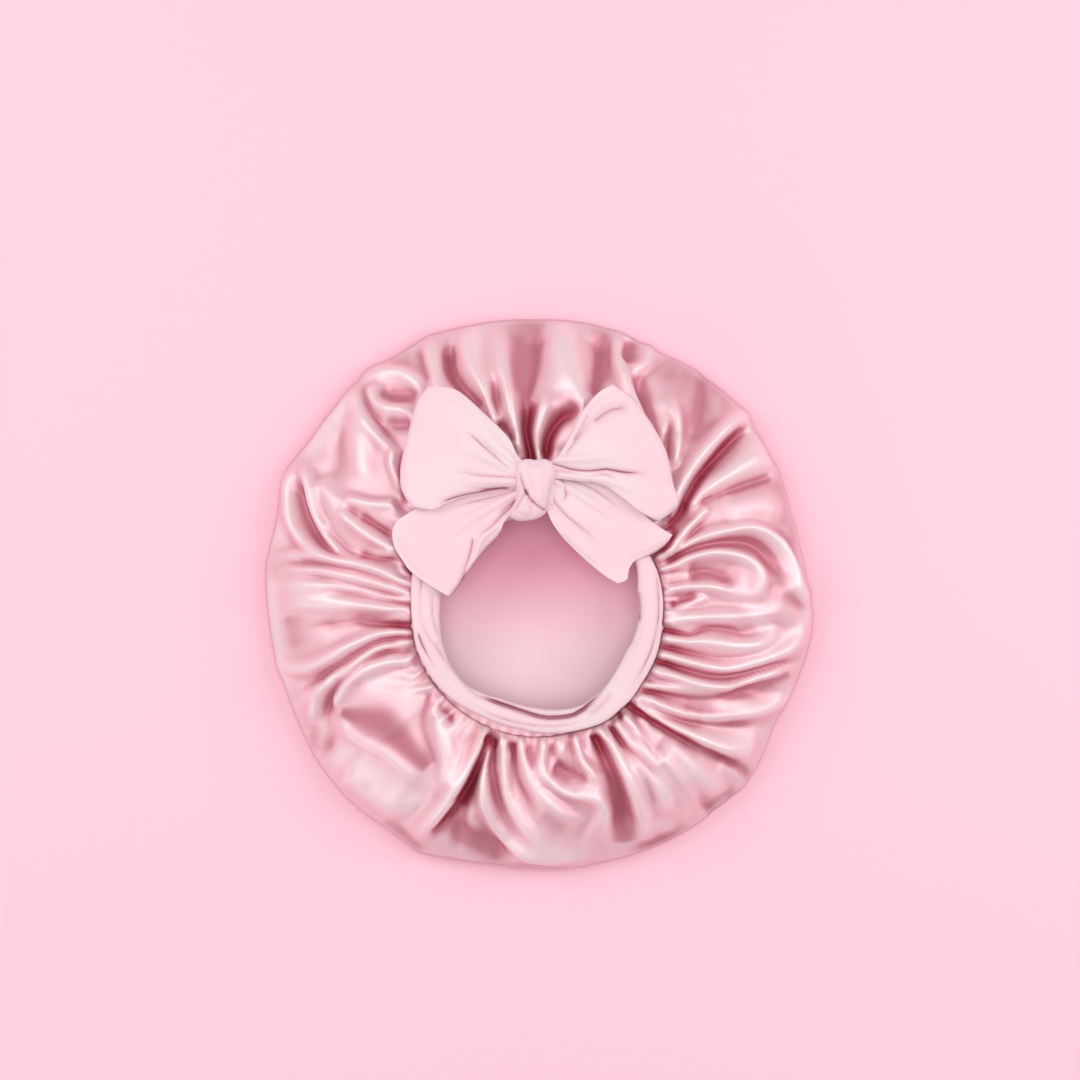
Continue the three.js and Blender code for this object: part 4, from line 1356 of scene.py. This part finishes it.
# Bow: outlines are pixels of the photograph, and each piece runs from its gathered neck to its end
bow = {
    "axis": (-2.7, 68.85),
    "axisHeight": 57.7,
    "loopSteps": (240, 88),
    "loopThickness": 1.4,
    "loopHeight": 58.6,
    "loopArch": 0.6,
    "puff": (1.2, 3.6, 1.2),  # all over, in the middle, and towards the end
    "underPuff": 2.6,
    "roundEnd": 0.1,  # share of a loop's length that its end curves over
    "neckFor": 0.12,
    "neckHeight": 0.35,
    "tailSteps": (130, 80),
    "tailThickness": 1.6,
    "tailHeights": (55.4, 55.6),
    "tailSwell": 1.6,
    "tailDrop": 0.3,
    "creaseDepth": 1.9,
    "ripple": (20.0, 0.5),  # size and height
}
bowOutlines = {
    "left loop": {
        "upper": [(524, 463), (517, 457), (508, 439), (486, 417), (460, 394), (443, 389), (430, 389)],
        "end": [(430, 389), (419, 405), (411, 434), (404, 463), (403, 480), (405, 492), (415, 508)],
        "lower": [(524, 486), (502, 491), (477, 495), (463, 498), (445, 505), (434, 510), (415, 508)],
        "neck": [(524, 463), (524, 486)],
    },
    "right loop": {
        "upper": [
            (545, 464), (556, 460), (565, 447), (573, 431), (579, 418), (589, 404), (600, 393),
            (611, 387),
        ],
        "end": [
            (611, 387), (628, 399), (644, 418), (656, 437), (665, 457), (671, 486), (676, 502),
            (669, 512), (656, 521),
        ],
        "lower": [
            (545, 478), (560, 479), (577, 481), (592, 482), (605, 486), (612, 491), (625, 501),
            (637, 511), (656, 521),
        ],
        "neck": [(545, 464), (545, 478)],
    },
    "left tail": {
        "upper": [(530, 484), (510, 485), (490, 489), (470, 492), (450, 497), (425, 505), (399, 520)],
        "end": [(399, 520), (394, 531), (396, 547), (404, 560), (412, 571), (431, 585), (450, 596)],
        "lower": [
            (528, 509), (512, 515), (504, 523), (499, 534), (486, 547), (473, 563), (463, 580),
            (450, 596),
        ],
        "neck": [(530, 484), (528, 509)],
    },
    "right tail": {
        "upper": [
            (545, 474), (570, 473), (590, 475), (605, 482), (620, 495), (640, 512), (655, 525),
            (671, 535),
        ],
        "end": [(671, 535), (663, 545), (647, 555), (634, 560), (628, 569), (626, 579), (617, 583)],
        "lower": [(547, 511), (551, 521), (560, 534), (573, 548), (589, 563), (605, 576), (617, 583)],
        "neck": [(545, 474), (547, 511)],
    },
}
# creases of each bow piece; their valleys are also painted as shade
bowFolds = {
    "left loop": [
        ridge(2.6, (2.0, 6.0), [(514, 462), (496, 446), (470, 418)], fade=(0, 0.5)),
        valley(2.6, (1.0, 1.4), [(509, 470), (491, 455), (477, 441), (463, 430)], fade=(0, 0.4)),
        valley(1.6, (1.0, 1.3), [(516, 472), (502, 463), (486, 445), (478, 432)], fade=(0, 0.6)),
        ridge(2.6, (1.8, 6.0), [(518, 474), (495, 462), (450, 440)], fade=(0, 0.6)),
        valley(1.8, (1.0, 1.8), [(516, 479), (498, 478), (474, 476), (452, 470)], fade=(0, 0.5)),
        ridge(1.8, (1.4, 4.0), [(516, 482), (490, 482), (450, 480)], fade=(0, 0.6)),
        valley(1.6, (1.0, 1.3), [(518, 487), (500, 488), (476, 489), (457, 486)], fade=(0, 0.6)),
        valley(2.6, (1.2, 1.2), [
            (516, 490), (502, 489), (484, 492), (466, 495), (452, 499), (438, 506),
        ], fade=(0.2, 0.2)),
        ridge(1.4, (2.0, 3.0), [(424, 398), (414, 430), (408, 464), (408, 488)]),
        ridge(1.6, (2.0, 4.0), [(440, 396), (464, 404), (490, 428)]),
        valley(1.6, (0.8, 1.0), [(404, 484), (405, 494), (415, 508), (434, 510)], fade=(0.3, 0.3)),
    ],
    "right loop": [
        valley(2.8, (1.1, 1.6), [
            (549, 463), (570, 470), (589, 472), (605, 470), (621, 473), (652, 475),
        ], fade=(0, 0.3)),
        ridge(2.6, (2.0, 5.0), [(550, 460), (576, 460), (604, 458), (640, 460)], fade=(0, 0.5)),
        valley(1.8, (0.9, 1.2), [(556, 472), (586, 477), (604, 476), (618, 482), (634, 492)], fade=(0, 0.4)),
        ridge(2.2, (1.6, 4.0), [(560, 476), (596, 479), (628, 488), (656, 500)], fade=(0, 0.5)),
        valley(1.4, (1.2, 1.8), [(565, 456), (580, 436), (596, 414)], fade=(0, 0.6)),
        valley(1.6, (2.2, 3.0), [(590, 426), (610, 412), (632, 409)]),
        ridge(1.8, (2.0, 3.0), [(586, 418), (602, 404), (622, 402)]),
        ridge(1.4, (2.0, 3.0), [(640, 420), (656, 446), (664, 474), (668, 496)]),
        valley(1.2, (1.0, 1.0), [(570, 446), (580, 430), (590, 412), (603, 398)]),
        valley(1.6, (1.0, 0.8), [(640, 513), (656, 521), (669, 512), (676, 502)], fade=(0.3, 0.3)),
    ],
    "left tail": [
        valley(2.4, (1.0, 1.2), [(522, 495), (510, 509), (500, 518), (489, 530), (474, 536)], fade=(0, 0.3)),
        valley(2.0, (1.1, 1.8), [(474, 536), (472, 550), (467, 566), (459, 584)], fade=(0.1, 0.4)),
        ridge(2.0, (1.4, 2.4), [(500, 524), (482, 540), (474, 560), (462, 580)]),
        ridge(2.2, (1.6, 5.0), [(520, 492), (494, 506), (460, 526), (430, 548)], fade=(0, 0.5)),
        valley(1.8, (1.0, 1.4), [(520, 490), (496, 497), (470, 503), (446, 510)], fade=(0, 0.5)),
        valley(1.4, (0.9, 1.0), [(518, 498), (506, 508), (498, 515)]),
        ridge(1.2, (2.0, 2.4), [(404, 528), (406, 546), (420, 566), (440, 584)]),
        valley(2.2, (0.9, 1.3), [
            (506, 521), (498, 535), (485, 549), (472, 565), (461, 582), (451, 596),
        ], fade=(0.3, 0)),
    ],
    "right tail": [
        valley(2.2, (1.0, 1.3), [(556, 476), (564, 484), (566, 495), (562, 506)], fade=(0, 0.4)),
        ridge(2.2, (1.8, 4.0), [(556, 482), (574, 492), (606, 512), (640, 534)], fade=(0, 0.6)),
        valley(1.6, (1.0, 1.6), [(552, 500), (566, 516), (588, 534), (604, 552)], fade=(0, 0.6)),
        valley(1.5, (1.0, 1.8), [(560, 478), (586, 486), (608, 500), (630, 518)], fade=(0, 0.5)),
        ridge(1.4, (1.8, 2.6), [(560, 528), (584, 550), (606, 568)]),
        ridge(1.2, (1.8, 2.4), [(664, 536), (644, 548), (628, 556), (620, 574)]),
        valley(1.8, (0.9, 0.9), [(671, 536), (663, 545), (647, 555), (634, 560)], fade=(0.2, 0.3)),
    ],
}


def sampled(line, shares):
    line = smoothLine(fromPhoto(line), 0.002)
    travelled = np.concatenate([[0], np.cumsum(np.linalg.norm(np.diff(line, axis=0), axis=1))])
    at = np.asarray(shares) * travelled[-1]
    return np.stack([np.interp(at, travelled, line[:, axis]) for axis in (0, 1)], axis=-1)


def outlinePlan(outline, along, across):
    # a patch stretched between the four edges of an outline
    upper, lower = sampled(outline["upper"], along), sampled(outline["lower"], along)
    neck, end = sampled(outline["neck"], across), sampled(outline["end"], across)
    corners = {
        "neckUpper": sampled(outline["neck"], [0])[0],
        "neckLower": sampled(outline["neck"], [1])[0],
        "endUpper": sampled(outline["end"], [0])[0],
        "endLower": sampled(outline["end"], [1])[0],
    }
    u, v = along[:, None], across[:, None]
    flat = (1 - v) * upper + v * lower + (1 - u) * neck + u * end
    flat -= (1 - u) * (1 - v) * corners["neckUpper"] + (1 - u) * v * corners["neckLower"]
    flat -= u * (1 - v) * corners["endUpper"] + u * v * corners["endLower"]
    return flat


def sheetGrid(steps, alongReach):
    bm = bmesh.new()
    bmesh.ops.create_grid(bm, x_segments=steps[0], y_segments=steps[1], size=0.5)
    bmesh.ops.translate(bm, verts=bm.verts[:], vec=(0.5, 0.5, 0))
    bmesh.ops.scale(bm, verts=bm.verts[:], vec=(alongReach, 1, 1))
    return bm


def bowSheet(piece, plan, height, shown, seed, thickness):
    # a ply of jersey at its place, with painted shade in its creases and its thickness given
    solid = np.stack([plan[:, 0], plan[:, 1], height], axis=1)
    size, tallest = bow["ripple"]
    solid[:, 2] += softNoise(solid, size * millimetre, seed, tallest * millimetre)
    setPlaces(piece, solid)
    # painted shade in the creases
    paint(piece, "crease", np.clip(-shown / (bow["creaseDepth"] * millimetre), 0, 1))
    faceUp(piece)
    return thicken(piece, thickness * millimetre, 0)


def makeLoop(name, key):
    # a wide strip folded back at its end, its upper layer puffed
    piece = addPiece(name, sheetGrid(bow["loopSteps"], 2), jersey)
    spots = places(piece)
    along = np.clip(1 - np.abs(1 - spots[:, 0]), 0, 1)
    across = 1 - spots[:, 1]
    top = spots[:, 0] < 1
    plan = outlinePlan(bowOutlines[key], along, across)
    curved = np.clip(along - (1 - bow["roundEnd"]), 0, 1) / bow["roundEnd"]
    roundEnd = np.sqrt(np.clip(1 - curved**2, 0, 1))
    middle = np.sin(math.pi * np.clip(across, 0, 1)) ** 0.5
    allOver, inMiddle, atEnd = bow["puff"]
    puff = (allOver + inMiddle * np.sin(math.pi * along**0.8) * middle + atEnd * along) * roundEnd
    centre = bow["loopHeight"] + bow["loopArch"] * np.sin(math.pi * along)
    creases = foldHeight(plan, bowFolds[key])
    upper = (centre + puff) * millimetre + creases * eased(roundEnd, 0, 0.7)
    lower = (centre - np.minimum(puff, bow["underPuff"])) * millimetre
    height = np.where(top, upper, lower)
    neck = bow["neckHeight"] + (1 - bow["neckHeight"]) * eased(along, 0, bow["neckFor"])
    axisHeight = bow["axisHeight"] * millimetre
    height = axisHeight + (height - axisHeight) * neck
    return bowSheet(piece, plan, height, creases * top, 4, bow["loopThickness"])


def makeTail(name, key, lift):
    piece = addPiece(name, sheetGrid(bow["tailSteps"], 1), jersey)
    spots = places(piece)
    along, across = spots[:, 0], 1 - spots[:, 1]
    plan = outlinePlan(bowOutlines[key], along, across)
    creases = foldHeight(plan, bowFolds[key])
    swell = bow["tailSwell"] * np.sin(math.pi * across) * np.sin(math.pi * np.clip(along, 0, 1) ** 0.7)
    drop = (bow["axisHeight"] - lift) * (1 - eased(along, 0, bow["tailDrop"]))
    height = (lift + drop + swell) * millimetre + creases
    return bowSheet(piece, plan, height, creases, 6, bow["tailThickness"])


loopLeft = makeLoop("bow_loop_left_jersey", "left loop")
loopRight = makeLoop("bow_loop_right_jersey", "right loop")
tailLeft = makeTail("bow_tail_left_jersey", "left tail", bow["tailHeights"][0])
tailRight = makeTail("bow_tail_right_jersey", "right tail", bow["tailHeights"][1])

knot = {
    "middlePixel": (535, 490),
    "middleHeight": 57.9,
    "halfHeight": 10.0,
    "segments": (128, 96),
    "squareness": (0.75, 0.85),
    "creaseDepth": 1.8,
    "outline": [
        (552, 463), (555, 474), (553, 485), (551, 495), (549, 505), (545, 514), (537, 519), (527, 521),
        (517, 521), (511, 518), (511, 511), (516, 501), (518, 491), (517, 480), (516, 470), (518, 463),
        (526, 460), (535, 461), (545, 460),
    ],
}
knotFolds = [
    ridge(1.8, (5.0, 2.6), [(536, 464), (536, 480), (539, 494), (545, 507)]),
    valley(1.5, (0.8, 1.0), [(519, 468), (521, 478), (524, 488), (527, 494)], fade=(0.5, 0)),
    valley(1.8, (1.0, 1.0), [(526, 492), (530, 499), (536, 505), (546, 512)], fade=(0, 0.1)),
    ridge(1.8, (2.0, 3.4), [(529, 502), (526, 510), (522, 516)]),
    valley(1.2, (0.8, 1.0), [(524, 495), (519, 504), (514, 514)], fade=(0, 0.3)),
    valley(0.8, (0.8, 1.0), [(528, 500), (524, 509), (521, 518)], fade=(0, 0.4)),
    valley(0.8, (0.8, 1.0), [(532, 503), (531, 511), (531, 519)], fade=(0, 0.4)),
    valley(1.0, (0.9, 1.2), [(553, 468), (552, 480), (549, 494), (546, 510)], fade=(0.5, 0)),
    valley(0.6, (0.8, 0.8), [(529, 463), (531, 474)], fade=(0, 0.5)),
    valley(0.6, (0.8, 0.8), [(543, 463), (545, 474)], fade=(0, 0.5)),
]


def makeKnot():
    bm = bmesh.new()
    around, upright = knot["segments"]
    bmesh.ops.create_uvsphere(bm, u_segments=around, v_segments=upright, radius=1)
    piece = addPiece("knot_wrapped_strand", bm, jersey)
    x, y, z = places(piece).T
    middle = fromPhoto(knot["middlePixel"])
    angle = np.arctan2(y, x)
    squareAcross, squareUp = knot["squareness"]
    reach = reachOf(knot["outline"], angle, middle / millimetre) * np.hypot(x, y) ** squareAcross
    plan = middle + np.stack([np.cos(angle) * reach, np.sin(angle) * reach], axis=1)
    folds = foldHeight(plan, knotFolds)
    height = knot["middleHeight"] + knot["halfHeight"] * np.sign(z) * np.abs(z) ** squareUp
    height = height * millimetre + folds * np.clip(1.5 * z, 0, 1)
    setPlaces(piece, np.concatenate([plan, height[:, None]], axis=1))
    # painted shade in the knot's creases, on its upper half
    paint(piece, "crease", np.clip(-folds / (knot["creaseDepth"] * millimetre), 0, 1) * (z > 0))
    return piece


knotWrap = makeKnot()
core = {
    "length": 24.0,
    "half": (13.0, 3.6),
    "behind": 0.2,
    "sides": 72,
    "rings": 20,
    "ribs": 9,
    "ribDepth": 0.08,
}


def makeCore():
    # a ribbed bundle that runs through the knot from loop to loop
    bm = bmesh.new()
    bmesh.ops.create_cone(bm, cap_ends=True, segments=core["sides"], radius1=1, radius2=1, depth=1)
    lengthwise = [edge for edge in bm.edges if abs(edge.verts[0].co.z - edge.verts[1].co.z) > 0.5]
    bmesh.ops.subdivide_edges(bm, edges=lengthwise, cuts=core["rings"])
    piece = addPiece("knot_gathered_core", bm, jersey)
    x, y, z = places(piece).T
    onWall = np.abs(np.hypot(x, y) - 1) < 1e-3
    ribs = 1 + core["ribDepth"] * np.sin(np.arctan2(y, x) * core["ribs"]) * onWall
    wide, tall = core["half"]
    middleX, middleY = bow["axis"]
    solid = [
        z * core["length"] + middleX,
        x * wide * ribs + middleY + core["behind"],
        y * tall * ribs + bow["axisHeight"],
    ]
    setPlaces(piece, np.stack(solid, axis=1) * millimetre)
    return piece


knotCore = makeCore()
print("bow made")

# Elastic and stitches, inside the casing and beside the band
elastic = {"inner": 79.5, "outer": 84.2, "bottom": 41.4, "thickness": 0.9, "steps": 240}


def makeElastic():
    inner, outer, bottom, thickness = (
        elastic[key] * millimetre for key in ("inner", "outer", "bottom", "thickness")
    )
    top = bottom + thickness
    section = [(inner, bottom), (outer, bottom), (outer, top), (inner, top)]
    piece = addPiece("elastic_tape", spunRing(section, elastic["steps"]), woven)
    setPlaces(piece, places(piece) + (*mouthMiddle, 0))
    return piece


elasticPiece = makeElastic()
# rows of stitches round the mouth: where they lie, how many there are, half their size and how they lean
stitching = {
    "gather": {"radius": 84.1, "height": 45.9, "count": 150, "half": (0.14, 1.5, 0.14), "lean": 0.25},
    "seam": {"radius": 77.0, "height": 46.1, "count": 150, "half": (0.14, 1.4, 0.14), "lean": 0.1},
    "join": {"radius": 81.9, "height": 42.7, "count": 9, "half": (1.9, 0.3, 0.3), "lean": 0.5},
    "joinStep": 0.0125,  # angle between the stitches of the zigzag
}


def stitched(name, row, angles, leans):
    # one short sausage for each stitch
    bm = bmesh.new()
    radius, height = row["radius"] * millimetre, row["height"] * millimetre
    for angle, lean in zip(angles, leans):
        turn = (
            Matrix.Translation((*mouthMiddle, height))
            @ Matrix.Rotation(angle, 4, "Z")
            @ Matrix.Translation((radius, 0, 0))
            @ Matrix.Rotation(lean, 4, "Z")
            @ Matrix.Diagonal((*(half * millimetre for half in row["half"]), 1))
        )
        bmesh.ops.create_icosphere(bm, subdivisions=1, radius=1, matrix=turn)
    return addPiece(name, bm, thread)


def stitchRing(name, row):
    angles = [fullTurn * number / row["count"] for number in range(row["count"])]
    return stitched(name, row, angles, [row["lean"]] * row["count"])


def stitchZigzag(name, row):
    # across the elastic's lap at the back of the mouth
    middle = row["count"] // 2
    angles = [-math.pi / 2 + (number - middle) * stitching["joinStep"] for number in range(row["count"])]
    leans = [row["lean"] if number % 2 else -row["lean"] for number in range(row["count"])]
    return stitched(name, row, angles, leans)


gatherStitch = stitchRing("gathering_stitches", stitching["gather"])
seamStitch = stitchRing("band_seam_stitches", stitching["seam"])
joinStitch = stitchZigzag("elastic_lap_stitches", stitching["join"])
print("stitches made")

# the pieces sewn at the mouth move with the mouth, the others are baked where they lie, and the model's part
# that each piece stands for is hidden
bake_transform(crownOuter)
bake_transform(crownLining)
sewnAtMouth = (casingPiece, elasticPiece, joinStitch, gatherStitch, seamStitch)
for piece in (*sewnAtMouth, bandOuter, bandInner, knotWrap, knotCore):
    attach(piece, "mouth")
for piece, body, near, far in (
    (loopLeft, "loop_left", -0.0135, -0.030),
    (loopRight, "loop_right", 0.0085, 0.025),
    (tailLeft, "tail_left", -0.0135, -0.030),
    (tailRight, "tail_right", 0.0085, 0.025),
):
    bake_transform(piece)

for piece, node, slot in (
    (crownOuter, "crown_outer", "satin"),
    (crownLining, "crown_lining", "lining"),
    (casingPiece, "elastic_casing", "satin"),
    (elasticPiece, "elastic", "elastic"),
    (joinStitch, "elastic_join_stitch", "thread"),
    (gatherStitch, "gather_stitch", "thread"),
    (seamStitch, "band_seam_stitch", "thread"),
    (bandOuter, "band_outer_fold", "jersey"),
    (bandInner, "band_inner_fold", "jersey"),
    (knotWrap, "knot_wrap", "jersey"),
    (knotCore, "knot_core", "jersey"),
    (loopLeft, "bow_loop_left", "jersey"),
    (loopRight, "bow_loop_right", "jersey"),
    (tailLeft, "bow_tail_left", "jersey"),
    (tailRight, "bow_tail_right", "jersey"),
):
    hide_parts(node)

# Floor, light and camera
stage = {
    "floor": colour(253, 204, 219),
    "floorHalf": 6,
    "lamps": {  # place, width and power
        "key": ((-1.1, 0.6, 1.2), 1.1, 7.5),
        "low": ((-1.1, -1.0, 0.7), 1.2, 2.8),
        "fill": ((1.2, 0.3, 1.1), 1.2, 8.8),
        "overhead": ((0, 0, 2.7), 1.5, 14.4),
    },
    "world": (1.0, 0.95, 0.96, 1),
    "worldStrength": 0.53,
}


def drawFloor(start):
    return {"Base_Color": stage["floor"], "Roughness": 0.9}


bm = bmesh.new()
bmesh.ops.create_grid(bm, x_segments=1, y_segments=1, size=stage["floorHalf"])
floor = addPiece("floor", bm, newLook("pale floor", {}, drawFloor))

for name, (place, width, power) in stage["lamps"].items():
    lamp = bpy.data.lights.new(name, "AREA")
    lamp.shape = "DISK"
    lamp.size = width
    lamp.energy = power
    holder = bpy.data.objects.new(name, lamp)
    bpy.context.scene.collection.objects.link(holder)
    holder.location = place
    holder.rotation_euler = (-Vector(place)).to_track_quat("-Z", "Y").to_euler()

world = bpy.data.worlds.new("soft room")
world.use_nodes = True
background = world.node_tree.nodes["Background"]
background.inputs["Color"].default_value = stage["world"]
background.inputs["Strength"].default_value = stage["worldStrength"]
bpy.context.scene.world = world
bpy.context.scene.view_settings.view_transform = "Standard"

camera = bpy.data.cameras.new("camera")
camera.sensor_width = view["sensorWidth"]
frameWidth = view["framePixels"] * view["metresPerPixel"]
camera.lens = view["sensorWidth"] * view["cameraHeight"] / frameWidth
holder = bpy.data.objects.new("camera", camera)
bpy.context.scene.collection.objects.link(holder)
lookX, lookY = fromPhoto((view["framePixels"] / 2, view["framePixels"] / 2))
holder.location = (lookX, lookY, view["sharpHeight"] + view["cameraHeight"])
bpy.context.scene.camera = holder
